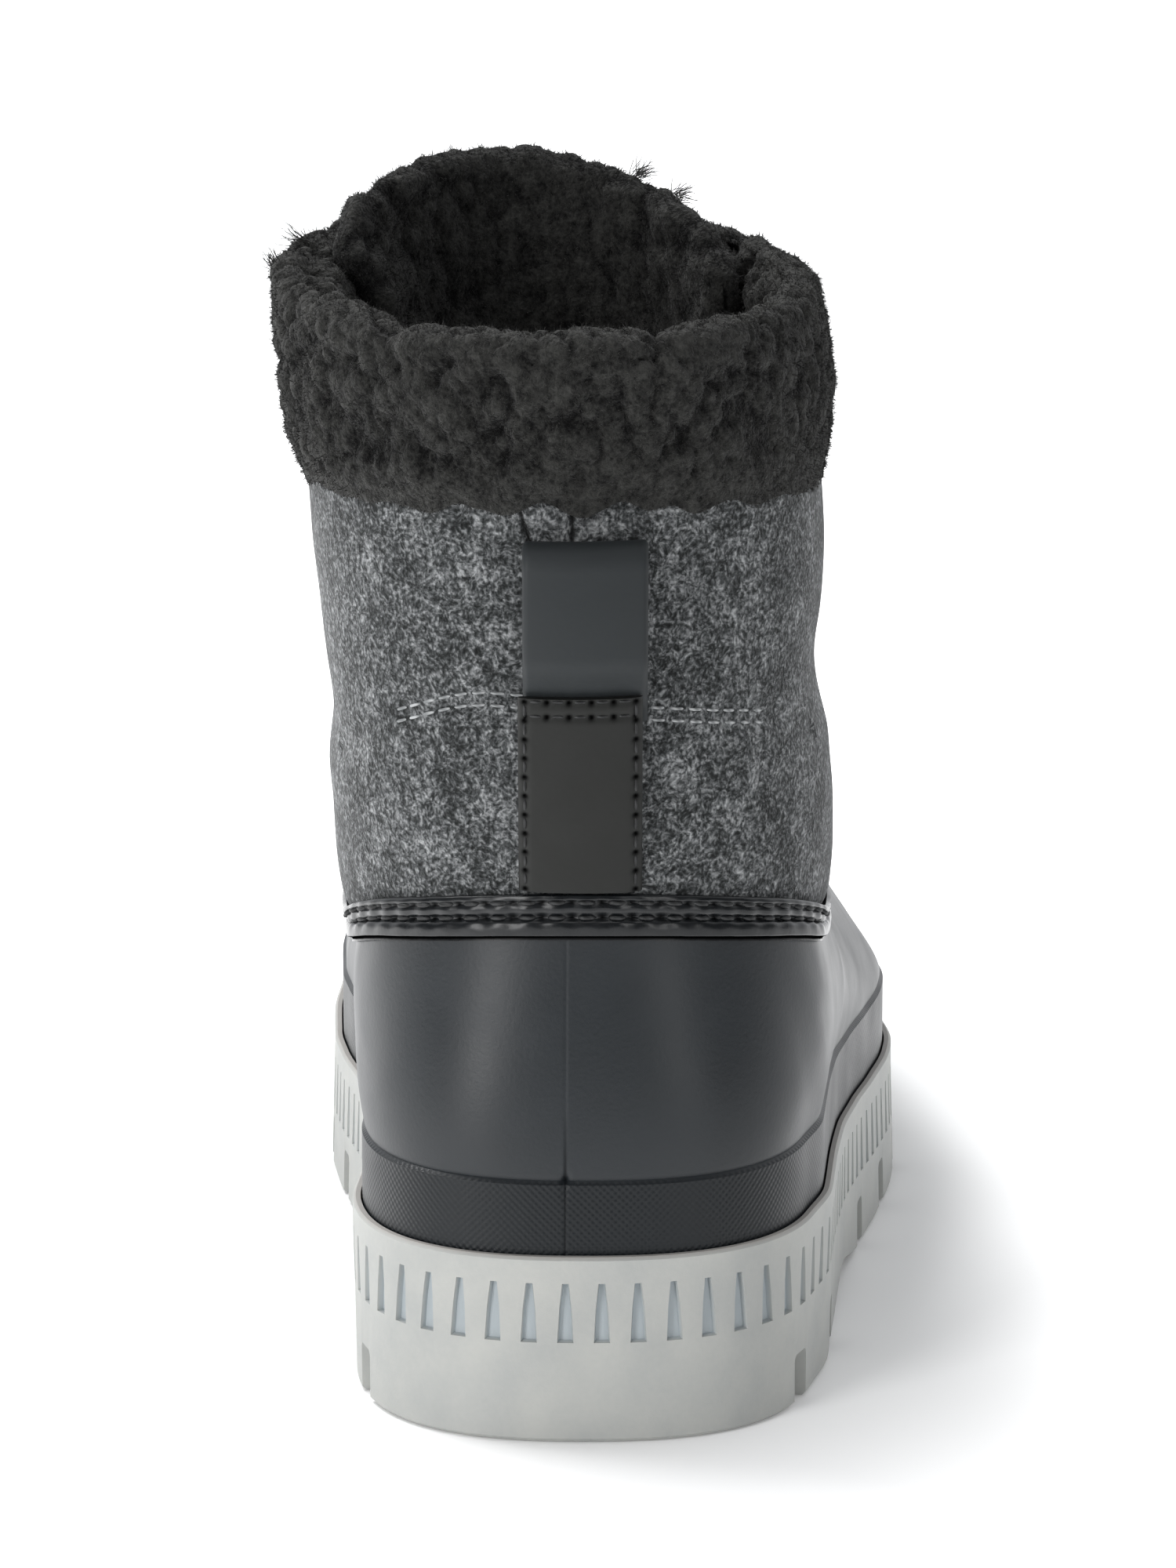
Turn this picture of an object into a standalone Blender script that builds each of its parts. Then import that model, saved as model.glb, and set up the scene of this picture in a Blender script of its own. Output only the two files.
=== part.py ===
"""Winter duck boot for the right foot: moulded rubber shell, felt shaft, fleece cuff, lugged cup sole.

Sizes are in millimetres in the boot's own frame: x across (lateral side positive), y from the back of the
heel to the toe, z up from the floor. The meshes are written in metres, and the empty that carries the pieces
puts the origin under the middle of the whole boot.
"""

import math

import bmesh
import bpy
import numpy as np

MM = 0.001
GAP = 0.3  # between pieces that meet

# Outsole
LENGTH = 266.0
HEEL_ROUND = 39.0  # length of the round heel end
HEEL_SQUARENESS = 2.4
TOE_ROUND = 72.0  # length of the round toe end
TOE_SQUARENESS = 2.4
RIM_WALL = 1.3  # lip of the cup that stands round the shell
RIM_CHAMFER = 0.5
SLOT_PITCH = 5.8
SLOT_START = 1.3  # first slot, round the outline from the back of the heel
SLOT_FOOT_WIDTH = 2.6
SLOT_HEAD_WIDTH = 1.1
SLOT_HEAD_DROP = 4.3  # below the rim
SLOT_FOOT_DROP = 13.9
SLOT_DEPTH = 1.0
SLOT_DRAFT = 0.25
GROOVE_DEPTH = 8.4
GROOVE_WIDTH = 5.4
GROOVE_CORNER = ((0.0, -1.2), (-0.35, -0.35), (-1.2, 0.0))  # of the roof
GROOVE_CHEVRON = 7.0  # how far the middle of a groove runs ahead of its ends
GROOVE_SKEW = 2.4  # the medial end lies ahead by this much, the lateral end behind
GROOVE_STATIONS = (17.0, 46.0, 102.0, 126.0, 150.0, 174.0, 198.0, 222.0)

# Rubber shell
SHELL_WALL = 3.0
FOXING_HEIGHT = 11.5  # raised strip above the rim
FOXING_STEP = 0.6
FOXING_BEVEL = 0.6
SHELL_ROWS = 7

# Felt shaft, cuff and tongue
FELT_WALL = 3.5
FELT_SHARES = (0.0, 0.06, 0.16, 0.28, 0.42, 0.65, 1.0)  # of its height, closer where it curves more
COLUMN_STEP = 6  # degrees of the ring angle, 0 at the heel and 180 at the toe
THROAT_ANGLE = 150  # the shaft ends here on both sides
COLLAR_HEIGHT = 178.0  # top of the cuff at the back
COLLAR_RISE = 5.0  # more at the front
COLLAR_TILT = 5.5  # and more again on the medial side
CUFF_FLAP = 3.7
CUFF_SLOUCH = 1.1  # the flap stands off more on the medial side and less on the lateral side
CUFF_LINING = 4.7
CUFF_CROWN = 6.5  # thickness of the pile over the felt's edge
CUFF_HANG = 26.0  # length of the flap
CUFF_SAG = 3.0  # it hangs lower at the sides
CUFF_LUMP = 1.0
TONGUE_FOOT_SPREAD = 48.0  # degrees to each side of the throat's middle
TONGUE_HEAD_SPREAD = 82.0
TONGUE_PAD = 6.0
TONGUE_TURN = 12.0  # degrees it sits round to the medial side
TONGUE_TOP = 196.0
TONGUE_DROP = 18.0  # from the middle of its top edge to its corners
TONGUE_TUCK = 9.0  # length below the seam, inside the shell
INSOLE_THICKNESS = 5.0

# Seam band, heel strap and pull loop
SEAM_GAP = 0.5  # between the edges of shell and shaft, under the band
BAND_BELOW = 4.2
BAND_ABOVE = 3.1
BAND_SKIN = 1.3
STRAP_WIDTH = 19.5
STRAP_MIDDLE = -1.2
LOOP_MIDDLE = -0.4
STRAP_SKIN = 1.3
STRAP_FOOT = 89.4
STRAP_HEAD = 121.6
LOOP_TOP = 146.3
LOOP_TUCK = 4.5  # length of the ends under the strap
LOOP_PLY = 1.2
LOOP_ROOM = 7.4  # widest gap between the two plies

# Eyestays, eyelets and lace
EYESTAY_ANGLE = 126
EYESTAY_SKIN = 1.3
EYESTAY_CLEAR = 0.8  # above the felt, whose faces are flat between its columns
EYESTAY_HEAD = 148.0
EYELET_ANGLE = 139
EYELET_HEIGHTS = (103.0, 116.0, 129.0, 142.0)
EYELET_HOLE = 2.6
EYELET_RADIUS = 4.6
EYELET_HEIGHT = 1.5
EYELET_SEAT = EYESTAY_CLEAR + EYESTAY_SKIN + 0.7  # of its flat underside above the felt's curve
LACE_RADIUS = 1.7
LACE_SAG = 5.0  # the lace runs this much deeper in the middle of the throat


def table(names, *rows):
    """A short table as one array per named column."""
    return dict(zip(names.split(), np.array(rows, float).T))


# Outline of the sole, heights of its rim, of the cup's floor and of the tread, and how far the side wall
# leans in towards the floor, by distance from the heel
SOLE = table(
    "along middle half rim floor tread lean",
    (0, -0.6, 39.0, 30.3, 18.0, 0.0, -1.6),
    (25, -0.3, 38.5, 30.2, 18.0, 0.0, 0.3),
    (40, 0.9, 39.5, 30.0, 18.0, 0.0, 0.5),
    (60, 2.3, 39.7, 29.3, 17.6, 0.0, 0.3),
    (80, 3.6, 40.4, 28.3, 16.6, 3.0, 0.0),
    (100, 4.6, 42.6, 27.0, 15.4, 0.0, -0.3),
    (120, 5.0, 46.2, 25.8, 14.4, 0.0, -0.6),
    (140, 4.9, 49.8, 24.8, 13.7, 0.0, -0.6),
    (155, 4.5, 51.1, 24.2, 13.3, 0.0, -0.6),
    (175, 3.0, 50.4, 23.8, 13.1, 0.0, -0.5),
    (195, 1.6, 48.2, 24.2, 13.4, 0.3, -0.3),
    (215, 0.2, 46.4, 25.4, 14.6, 1.8, 0.0),
    (240, -1.6, 44.8, 28.2, 17.4, 5.4, 0.5),
    (266, -3.2, 42.5, 32.0, 21.5, 10.0, 1.0),
)

# Level rings of the shaft: middle, half width, back, front, and how much wider the ring is at its back
SHAFT = table(
    "height middle half back front egg",
    (64, 0.3, 38.0, 6.0, 182.0, 0.40),
    (73, -0.1, 38.5, 5.8, 168.0, 0.38),
    (78, -0.4, 40.9, 5.6, 160.5, 0.36),
    (86, -0.6, 41.4, 5.3, 149.5, 0.33),
    (95, -0.9, 41.3, 4.8, 137.0, 0.27),
    (104, -1.5, 40.7, 4.4, 125.5, 0.21),
    (114, -2.3, 40.2, 4.2, 115.5, 0.15),
    (127, -2.7, 40.9, 3.9, 107.5, 0.09),
    (140, -3.4, 41.6, 3.5, 103.2, 0.05),
    (155, -4.2, 41.6, 3.0, 101.2, 0.04),
    (200, -5.4, 41.6, 2.5, 100.0, 0.03),
)

# Height of the seam between shell and shaft, by the share of the ring's length from back to front
SEAM = table(
    "share height",
    (0.00, 85.7),
    (0.10, 81.3),
    (0.30, 73.4),
    (0.50, 73.2),
    (0.70, 78.0),
    (0.86, 85.8),
    (1.00, 92.0),
)

# Side profile of the shell, by distance from the heel: how far it rises straight from the foxing, how far
# towards the base and how far down the curve leaves the seam, and how much it swells in between
SHELL = table(
    "along rise reach drop swell",
    (0, 14.0, 0.00, 14.0, 0.5),
    (40, 12.0, 0.10, 13.0, 3.0),
    (90, 10.0, 0.25, 12.0, 2.6),
    (140, 5.0, 0.32, 14.0, 0.3),
    (190, 3.5, 0.40, 13.0, 0.0),
    (235, 12.0, 0.48, 13.0, 0.0),
    (266, 16.0, 0.46, 16.0, 0.0),
)


def smooth(columns, name, at):
    """Reads a column between its rows on a smooth curve that never swings past them."""
    x, y = next(iter(columns.values())), columns[name]
    at = np.clip(np.asarray(at, float), x[0], x[-1])
    step = np.diff(x)
    rate = np.diff(y) / step
    slope = np.zeros_like(y)
    slope[0], slope[-1] = rate[0], rate[-1]
    level = rate[:-1] * rate[1:] > 0
    mean = 2 * rate[:-1] * rate[1:] / np.where(level, rate[:-1] + rate[1:], 1)
    slope[1:-1] = np.where(level, mean, 0)
    i = np.clip(np.searchsorted(x, at) - 1, 0, len(step) - 1)
    t = (at - x[i]) / step[i]
    return (
        y[i] * (1 + 2 * t) * (1 - t) ** 2
        + slope[i] * step[i] * t * (1 - t) ** 2
        + y[i + 1] * t**2 * (3 - 2 * t)
        + slope[i + 1] * step[i] * t**2 * (t - 1)
    )


def unit(vectors):
    return vectors / np.linalg.norm(vectors, axis=-1, keepdims=True)


def points(x, y, z):
    return np.stack(np.broadcast_arrays(x, y, z), axis=-1).astype(float)


def share_along(angle):
    """Share of a ring's length from its back to its front at a ring angle."""
    return (1 - np.cos(angle)) / 2


def sole_outline(angle, inset=0.0):
    """Points (x, y) of the sole's outline at ring angles, moved in by inset along its normal."""

    def at(a):
        along = LENGTH * share_along(a)
        heel = np.clip(1 - along / HEEL_ROUND, 0, 1) ** HEEL_SQUARENESS
        toe = np.clip(1 - (LENGTH - along) / TOE_ROUND, 0, 1) ** TOE_SQUARENESS
        round_end = (1 - heel) ** (1 / HEEL_SQUARENESS) * (1 - toe) ** (1 / TOE_SQUARENESS)
        half = smooth(SOLE, "half", along) * round_end * np.sign(np.sin(a))
        return np.stack([smooth(SOLE, "middle", along) + half, along], axis=-1)

    small = 1e-3
    tangent = unit(at(angle + small) - at(angle - small))
    inward = np.stack([-tangent[..., 1], tangent[..., 0]], axis=-1)
    return at(angle) + np.asarray(inset)[..., None] * inward


def outline_by_length(pitch):
    """Ring angles of points about one pitch apart along the sole's outline, and their true spacing."""
    angle = np.linspace(0.01, 2 * math.pi + 0.01, 4001)
    length = np.concatenate([[0], np.cumsum(np.linalg.norm(np.diff(sole_outline(angle), axis=0), axis=1))])
    count = round(length[-1] / pitch)
    spacing = length[-1] / count

    def angle_at(distance):
        return np.interp(np.mod(distance, length[-1]), length, angle)

    return angle_at, count, spacing


def shaft_point(angle, height, out=0.0):
    """Points of the felt's outer surface at ring angles and heights, moved out along its normal."""

    def at(a, z):
        back, front = smooth(SHAFT, "back", z), smooth(SHAFT, "front", z)
        egg = smooth(SHAFT, "egg", z)
        width = np.sin(a) * (1 + egg * np.cos(a)) / (1 + egg**2 / 2)
        x = smooth(SHAFT, "middle", z) + smooth(SHAFT, "half", z) * width
        return points(x, back + (front - back) * share_along(a), z)

    angle, height = np.broadcast_arrays(np.asarray(angle, float), np.asarray(height, float))
    small_angle, small_height = 1e-3, 0.05
    around = at(angle + small_angle, height) - at(angle - small_angle, height)
    up = at(angle, height + small_height) - at(angle, height - small_height)
    return at(angle, height) + np.asarray(out)[..., None] * unit(np.cross(around, up))


def seam_height(angle):
    return smooth(SEAM, "height", share_along(angle))


def collar_height(angle):
    """Height of the cuff's top edge."""
    share = share_along(angle)
    return COLLAR_HEIGHT + COLLAR_RISE * share**2 + COLLAR_TILT * share * np.maximum(-np.sin(angle), 0)


def shell_surface(angle, rows):
    """Outer surface of the shell from the foxing's head to the seam, an array of rows of points."""
    inset = RIM_WALL + GAP + FOXING_STEP
    base = sole_outline(angle, inset)
    along = LENGTH * share_along(angle)
    outward = sole_outline(angle, inset - 1) - base
    swell = smooth(SHELL, "swell", along) * outward.T
    foxing_head = smooth(SOLE, "rim", along) + FOXING_HEIGHT + FOXING_BEVEL
    start = points(base[:, 0], base[:, 1], foxing_head)
    end = shaft_point(angle, seam_height(angle) - SEAM_GAP / 2)
    rise = start + points(0, 0, smooth(SHELL, "rise", along))
    leave = end + smooth(SHELL, "reach", along)[:, None] * (start - end) * [1, 1, 0]
    leave -= points(0, 0, smooth(SHELL, "drop", along))
    rise += points(*swell, 0)
    leave += points(*swell, 0)
    t = np.linspace(0, 1, rows)[:, None, None]
    return (
        (1 - t) ** 3 * start + 3 * t * (1 - t) ** 2 * rise + 3 * t**2 * (1 - t) * leave + t**3 * end
    )


def grid_normals(grid, closed):
    """Outward normals of a grid of rows of points, wound with the ring angle."""
    if closed:
        around = np.roll(grid, -1, axis=1) - np.roll(grid, 1, axis=1)
    else:
        around = np.gradient(grid, axis=1)
    return unit(np.cross(around, np.gradient(grid, axis=0)))


def seam_point(angle, distance, out):
    """Points beside the seam: on the shell below it, on the shaft above it, moved out along the normal."""
    seam = seam_height(angle)
    if distance >= 0:
        slant = np.linalg.norm(shaft_point(angle, seam + 1) - shaft_point(angle, seam), axis=-1)
        return shaft_point(angle, seam + distance / slant, out)
    fine_rows = 60
    fine = shell_surface(angle, fine_rows)
    normals = grid_normals(fine, closed=True)
    steps = np.linalg.norm(np.diff(fine[::-1], axis=0), axis=-1)
    walked = np.concatenate([np.zeros((1, len(angle))), np.cumsum(steps, axis=0)])
    row = fine_rows - 1 - np.argmax(walked >= -distance, axis=0)
    column = np.arange(len(angle))
    return fine[row, column] + out * normals[row, column]


def ring_angles(first, last):
    """Ring angles in radians, one column step apart, both ends included."""
    return np.radians(np.arange(first, last + COLUMN_STEP, COLUMN_STEP))


RING_START = 1e-4  # keeps the heel column off the point where the outline's two sides meet
RING = ring_angles(0, 360 - COLUMN_STEP) + RING_START
AROUND_BACK = ring_angles(-THROAT_ANGLE, THROAT_ANGLE) + RING_START


def new_object(name, mesh, finish):
    mesh.update()
    body = bpy.data.objects.new(name, mesh)
    bpy.context.scene.collection.objects.link(body)
    if finish:
        body.data.materials.append(material(*finish))
    body.data.shade_smooth()
    body.data.set_sharp_from_angle(angle=math.radians(38))
    return body


def solid(name, vertices, faces, finish=None):
    """A closed mesh object from points in millimetres, with its faces turned outwards."""
    mesh = bpy.data.meshes.new(name)
    mesh.from_pydata((np.asarray(vertices) * MM).tolist(), [], faces)
    bm = bmesh.new()
    bm.from_mesh(mesh)
    bmesh.ops.remove_doubles(bm, verts=bm.verts, dist=1e-7)
    bmesh.ops.triangulate(bm, faces=[f for f in bm.faces if len(f.verts) > 4])
    bmesh.ops.recalc_face_normals(bm, faces=bm.faces)
    bm.to_mesh(mesh)
    bm.free()
    return new_object(name, mesh, finish)


def wall(name, outer, inner, closed, finish):
    """A solid between two grids of the same shape. A closed grid's last column joins its first."""
    rows, count = outer.shape[:2]
    vertices = np.concatenate([outer.reshape(-1, 3), inner.reshape(-1, 3)])
    second = rows * count

    def number(row, column, side):
        return row * count + column % count + side * second

    faces = []
    for column in range(count if closed else count - 1):
        for row in range(rows - 1):
            for side in (0, 1):
                faces.append(
                    [
                        number(row, column, side),
                        number(row, column + 1, side),
                        number(row + 1, column + 1, side),
                        number(row + 1, column, side),
                    ]
                )
        for row in (0, rows - 1):
            faces.append(
                [
                    number(row, column, 0),
                    number(row, column + 1, 0),
                    number(row, column + 1, 1),
                    number(row, column, 1),
                ]
            )
    if not closed:
        for column in (0, count - 1):
            for row in range(rows - 1):
                faces.append(
                    [
                        number(row, column, 0),
                        number(row + 1, column, 0),
                        number(row + 1, column, 1),
                        number(row, column, 1),
                    ]
                )
    return solid(name, vertices, faces, finish)


def sweep(name, sections, closed, finish):
    """A solid through closed sections, an array of sections of points. An open sweep gets flat ends."""
    count, size = sections.shape[:2]
    faces = []
    for i in range(count if closed else count - 1):
        for j in range(size):
            k = (j + 1) % size
            after = (i + 1) % count
            faces.append([i * size + j, i * size + k, after * size + k, after * size + j])
    if not closed:
        faces.append(list(range(size)))
        faces.append(list(range((count - 1) * size, count * size)))
    return solid(name, sections.reshape(-1, 3), faces, finish)


def material(name, colour, roughness, metallic=0.0):
    found = bpy.data.materials.get(name)
    if found:
        return found
    made = bpy.data.materials.new(name)
    made.use_nodes = True
    shader = made.node_tree.nodes["Principled BSDF"]
    shader.inputs["Base Color"].default_value = (*colour, 1.0)
    shader.inputs["Roughness"].default_value = roughness
    shader.inputs["Metallic"].default_value = metallic
    return made


GREY_RUBBER = ("grey_rubber", (0.53, 0.54, 0.53), 0.6)
BLACK_RUBBER = ("black_rubber", (0.035, 0.038, 0.042), 0.5)
GREY_FELT = ("grey_felt", (0.12, 0.125, 0.13), 0.95)
BLACK_FLEECE = ("black_fleece", (0.02, 0.02, 0.02), 1.0)
BLACK_LEATHERETTE = ("black_leatherette", (0.03, 0.033, 0.035), 0.4)
BLACK_METAL = ("black_metal", (0.05, 0.05, 0.05), 0.35, 1.0)
BLACK_CORD = ("black_cord", (0.02, 0.02, 0.02), 0.8)


def outsole():
    """Cup sole: a lip round the shell, tapered slots in its side, chevron grooves between the lugs."""
    angle_at, count, spacing = outline_by_length(SLOT_PITCH)
    centre = SLOT_START + np.arange(count) * spacing

    def ring(distance, drop=None, inset=0.0, height=None, lean=0.0):
        angle = angle_at(distance)
        along = LENGTH * share_along(angle)
        outline = sole_outline(angle, inset + lean * smooth(SOLE, "lean", along))
        if drop is not None:
            z = smooth(SOLE, "rim", along) - drop
        else:
            z = smooth(SOLE, height, along)
        return points(outline[:, 0], outline[:, 1], z)

    head, foot = SLOT_HEAD_WIDTH / 2, SLOT_FOOT_WIDTH / 2
    deep_head, deep_foot = head - SLOT_DRAFT, foot - SLOT_DRAFT
    high, low = SLOT_HEAD_DROP + SLOT_DRAFT, SLOT_FOOT_DROP - SLOT_DRAFT
    rings = {
        "tread": ring(centre, height="tread", lean=1.0),
        "foot_left": ring(centre - foot, SLOT_FOOT_DROP, lean=0.5),
        "foot_right": ring(centre + foot, SLOT_FOOT_DROP, lean=0.5),
        "head_left": ring(centre - head, SLOT_HEAD_DROP),
        "head_right": ring(centre + head, SLOT_HEAD_DROP),
        "deep_foot_left": ring(centre - deep_foot, low, SLOT_DEPTH, lean=0.5),
        "deep_foot_right": ring(centre + deep_foot, low, SLOT_DEPTH, lean=0.5),
        "deep_head_left": ring(centre - deep_head, high, SLOT_DEPTH),
        "deep_head_right": ring(centre + deep_head, high, SLOT_DEPTH),
        "rim_side": ring(centre, RIM_CHAMFER),
        "rim_top": ring(centre, 0.0, RIM_CHAMFER),
        "lip": ring(centre, 0.0, RIM_WALL),
        "floor": ring(centre, inset=RIM_WALL, height="floor"),
    }
    names = list(rings)
    first = {name: i * count for i, name in enumerate(names)}
    faces = []
    for k in range(count):
        after = (k + 1) % count

        def here(name):
            return first[name] + k

        def there(name):
            return first[name] + after

        faces.append([here("tread"), here("foot_right"), here("foot_left")])
        faces.append([here("tread"), there("tread"), there("foot_left"), here("foot_right")])
        faces.append([here("foot_right"), there("foot_left"), there("head_left"), here("head_right")])
        faces.append([here("head_left"), here("head_right"), here("rim_side")])
        faces.append([here("head_right"), there("head_left"), there("rim_side"), here("rim_side")])
        corners = ("foot_left", "foot_right", "head_right", "head_left")
        faces.append([here("deep_" + corner) for corner in corners])
        for i, corner in enumerate(corners):
            following = corners[(i + 1) % 4]
            faces.append([here(corner), here(following), here("deep_" + following), here("deep_" + corner)])
        for lower, upper in (("rim_side", "rim_top"), ("rim_top", "lip"), ("lip", "floor")):
            faces.append([here(lower), there(lower), there(upper), here(upper)])
    faces.append([first["tread"] + k for k in range(count)])
    faces.append([first["floor"] + k for k in range(count)])
    body = solid("outsole", np.concatenate(list(rings.values())), faces, GREY_RUBBER)
    cut = body.modifiers.new("grooves", "BOOLEAN")
    cut.operation = "DIFFERENCE"
    cut.object = groove_cutter()
    return body


def groove_cutter():
    """All the grooves of the tread as bent bars with rounded corners, one closed shell for each."""
    side = LENGTH / 4
    below = 3.0
    half = GROOVE_WIDTH / 2
    vertices, faces = [], []
    roof = [(half + y, GROOVE_DEPTH + z) for y, z in GROOVE_CORNER]
    roof += [(-y, z) for y, z in reversed(roof)]
    section = [(half, -below), *roof, (-half, -below)]
    size = len(section)
    for station in GROOVE_STATIONS:
        start = len(vertices)
        bends = ((-side, GROOVE_SKEW), (SOLE["middle"][-1], GROOVE_CHEVRON), (side, -GROOVE_SKEW))
        for x, ahead in bends:
            floor = float(smooth(SOLE, "tread", station + ahead))
            vertices += [(x, station + ahead + y, floor + z) for y, z in section]
        for i in range(2):
            for j in range(size):
                k = (j + 1) % size
                a, b = start + i * size, start + (i + 1) * size
                faces.append([a + j, a + k, b + k, b + j])
        faces.append(list(range(start, start + size)))
        faces.append(list(range(start + 2 * size, start + 3 * size)))
    cutter = solid("groove_cutter", vertices, faces)
    cutter.hide_render = True
    cutter.display_type = "WIRE"
    return cutter


def rubber_shell():
    """Moulded lower of the upper, open at the seam and underneath, with the foxing as a step in its wall."""
    along = LENGTH * share_along(RING)
    edge = sole_outline(RING, RIM_WALL + GAP)
    foot = points(edge[:, 0], edge[:, 1], smooth(SOLE, "floor", along) + GAP)
    foxing = points(edge[:, 0], edge[:, 1], smooth(SOLE, "rim", along) + FOXING_HEIGHT)
    outer = np.concatenate([[foot, foxing], shell_surface(RING, SHELL_ROWS)])
    inward = grid_normals(outer, closed=True)
    level = unit(inward[0] * [1, 1, 0])
    inward[0], inward[1], inward[2] = level, level, level
    at_seam = seam_height(RING) - SEAM_GAP / 2
    inward[-1] = shaft_point(RING, at_seam, 1.0) - shaft_point(RING, at_seam)
    thickness = np.full(len(outer), SHELL_WALL)
    thickness[2] -= FOXING_STEP
    inner = outer - inward * thickness[:, None, None]
    return wall("rubber_shell", outer, inner, True, BLACK_RUBBER)


def felt_shaft():
    """Sewn upper part of the upper, open at the collar and down the throat."""
    foot = seam_height(AROUND_BACK) + SEAM_GAP / 2
    head = collar_height(AROUND_BACK) - CUFF_CROWN
    height = foot + np.array(FELT_SHARES)[:, None] * (head - foot)
    angle = np.broadcast_to(AROUND_BACK, height.shape)
    outer = shaft_point(angle, height)
    inner = shaft_point(angle, height, -FELT_WALL)
    return wall("felt_shaft", outer, inner, False, GREY_FELT)


def seam_band():
    """Stitched strip over the joint, narrower across the throat where there is no felt above it."""
    clear = GAP + 0.15
    lip = 0.5  # the lower edge stands out this much more
    outer = [seam_point(RING, -BAND_BELOW, clear + BAND_SKIN + lip)]
    inner = [seam_point(RING, -BAND_BELOW, clear)]
    for distance in (0.0, BAND_ABOVE):
        outer.append(seam_point(RING, distance, clear + BAND_SKIN))
        inner.append(seam_point(RING, distance, clear))
    throat = np.abs(np.degrees(RING) - 180) < 180 - THROAT_ANGLE - COLUMN_STEP / 2
    for grid in (outer, inner):
        grid[-1][throat] = grid[-2][throat] + [0, -0.2, 0.2]
    return wall("seam_band", np.array(outer), np.array(inner), True, BLACK_LEATHERETTE)


def lump(angle, turn):
    """Height of the fleece's curls from 0 to 1, by ring angle and by the angle round the cuff's section."""
    waves = (
        np.sin(19 * angle + 2.0 * np.sin(3 * turn))
        + np.sin(11 * angle - 4 * turn + 1.3)
        + np.sin(29 * angle + 5 * turn + 0.7)
    )
    return 0.5 + waves / 6


def fleece_cuff():
    """Turned-over fleece collar: a hook of pile over the felt's edge, with its curls raised."""
    lining = -FELT_WALL - CUFF_LINING
    clear = GAP + 0.45  # above the felt's flat faces
    hook = table(
        "out drop raised",
        (clear, CUFF_HANG, 0.0),
        (CUFF_FLAP * 0.35, CUFF_HANG - 0.5, 0.3),
        (CUFF_FLAP * 0.75, CUFF_HANG - 5.0, 0.8),
        (CUFF_FLAP + 0.3, CUFF_HANG - 15.0, 1.0),
        (CUFF_FLAP - 0.4, 4.0, 1.0),
        (CUFF_FLAP / 2 - 0.6, 0.4, 0.8),
        (-FELT_WALL, 0.4, 0.8),
        (lining + 0.6, 4.5, 0.2),
        (lining, 13.0, 0.0),
        (lining, CUFF_HANG - 1.0, 0.0),
        (-FELT_WALL - clear, CUFF_HANG - 0.4, 0.0),
        (-FELT_WALL - clear, CUFF_CROWN - clear, 0.0),
        (clear, CUFF_CROWN - clear, 0.0),
    )
    turn = np.linspace(0, 2 * math.pi, len(hook["out"]), endpoint=False)
    flap = np.arange(len(turn)) < 6
    sections = []
    for angle in AROUND_BACK:
        curl = CUFF_LUMP * (2 * lump(angle, turn) - 0.9) * hook["raised"]
        sag = CUFF_SAG * math.sin(angle) ** 2 * hook["drop"] / CUFF_HANG
        out = hook["out"] + np.where(flap, curl - CUFF_SLOUCH * math.sin(angle) * hook["raised"], 0.0)
        height = collar_height(angle) - hook["drop"] - np.where(flap, sag, 0.0)
        ring = shaft_point(angle, height, out)
        ring[:, 2] += np.where(hook["drop"] < 4.0, curl, 0.0)
        sections.append(ring)
    return sweep("fleece_cuff", np.array(sections), False, BLACK_FLEECE)


def tongue():
    """Padded tongue behind the throat, rising in an arch above the collar."""
    side = np.linspace(-1, 1, 19)
    top = TONGUE_TOP - TONGUE_DROP * (0.45 * side**2 + 0.55 * side**6)
    foot = seam_height(math.radians(THROAT_ANGLE)) - TONGUE_TUCK * (1 - 0.5 * np.abs(side))
    rise = np.linspace(0, 1, 7)[:, None]
    spread = TONGUE_FOOT_SPREAD + (TONGUE_HEAD_SPREAD - TONGUE_FOOT_SPREAD) * np.sqrt(rise)
    angle = np.radians(180 + TONGUE_TURN * rise + side * spread)
    height = foot + rise * (top - foot)
    face = -FELT_WALL - CUFF_LINING - 2 * GAP
    outer = shaft_point(angle, height, face)
    inner = shaft_point(angle, height, face - TONGUE_PAD)
    return wall("tongue", outer, inner, False, BLACK_FLEECE)


def insole():
    """Footbed that lies in the shell on the floor of the cup."""
    outline = sole_outline(RING, RIM_WALL + GAP + SHELL_WALL + GAP + 0.2)
    floor = smooth(SOLE, "floor", LENGTH * share_along(RING)) + GAP
    low = points(outline[:, 0], outline[:, 1], floor)
    count = len(RING)
    faces = [list(range(count)), list(range(count, 2 * count))]
    faces += [[k, (k + 1) % count, count + (k + 1) % count, count + k] for k in range(count)]
    high = low + [0, 0, INSOLE_THICKNESS]
    return solid("insole", np.concatenate([low, high]), faces, BLACK_FLEECE)


def strip_grid(heights, outs, middle):
    """A grid of a strip down the back of the shaft, from its rows' heights and distances off the felt."""
    across = np.linspace(-STRAP_WIDTH / 2, STRAP_WIDTH / 2, 5) + middle
    rows = []
    for height, out in zip(heights, outs):
        egg = smooth(SHAFT, "egg", height)
        reach = smooth(SHAFT, "half", height) * (1 + egg) / (1 + egg**2 / 2)
        angle = np.arcsin((across - smooth(SHAFT, "middle", height)) / reach)
        straight_back = shaft_point(0.0, height, 1.0) - shaft_point(0.0, height)
        rows.append(shaft_point(angle, height) + out * straight_back)
    return np.array(rows)


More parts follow.
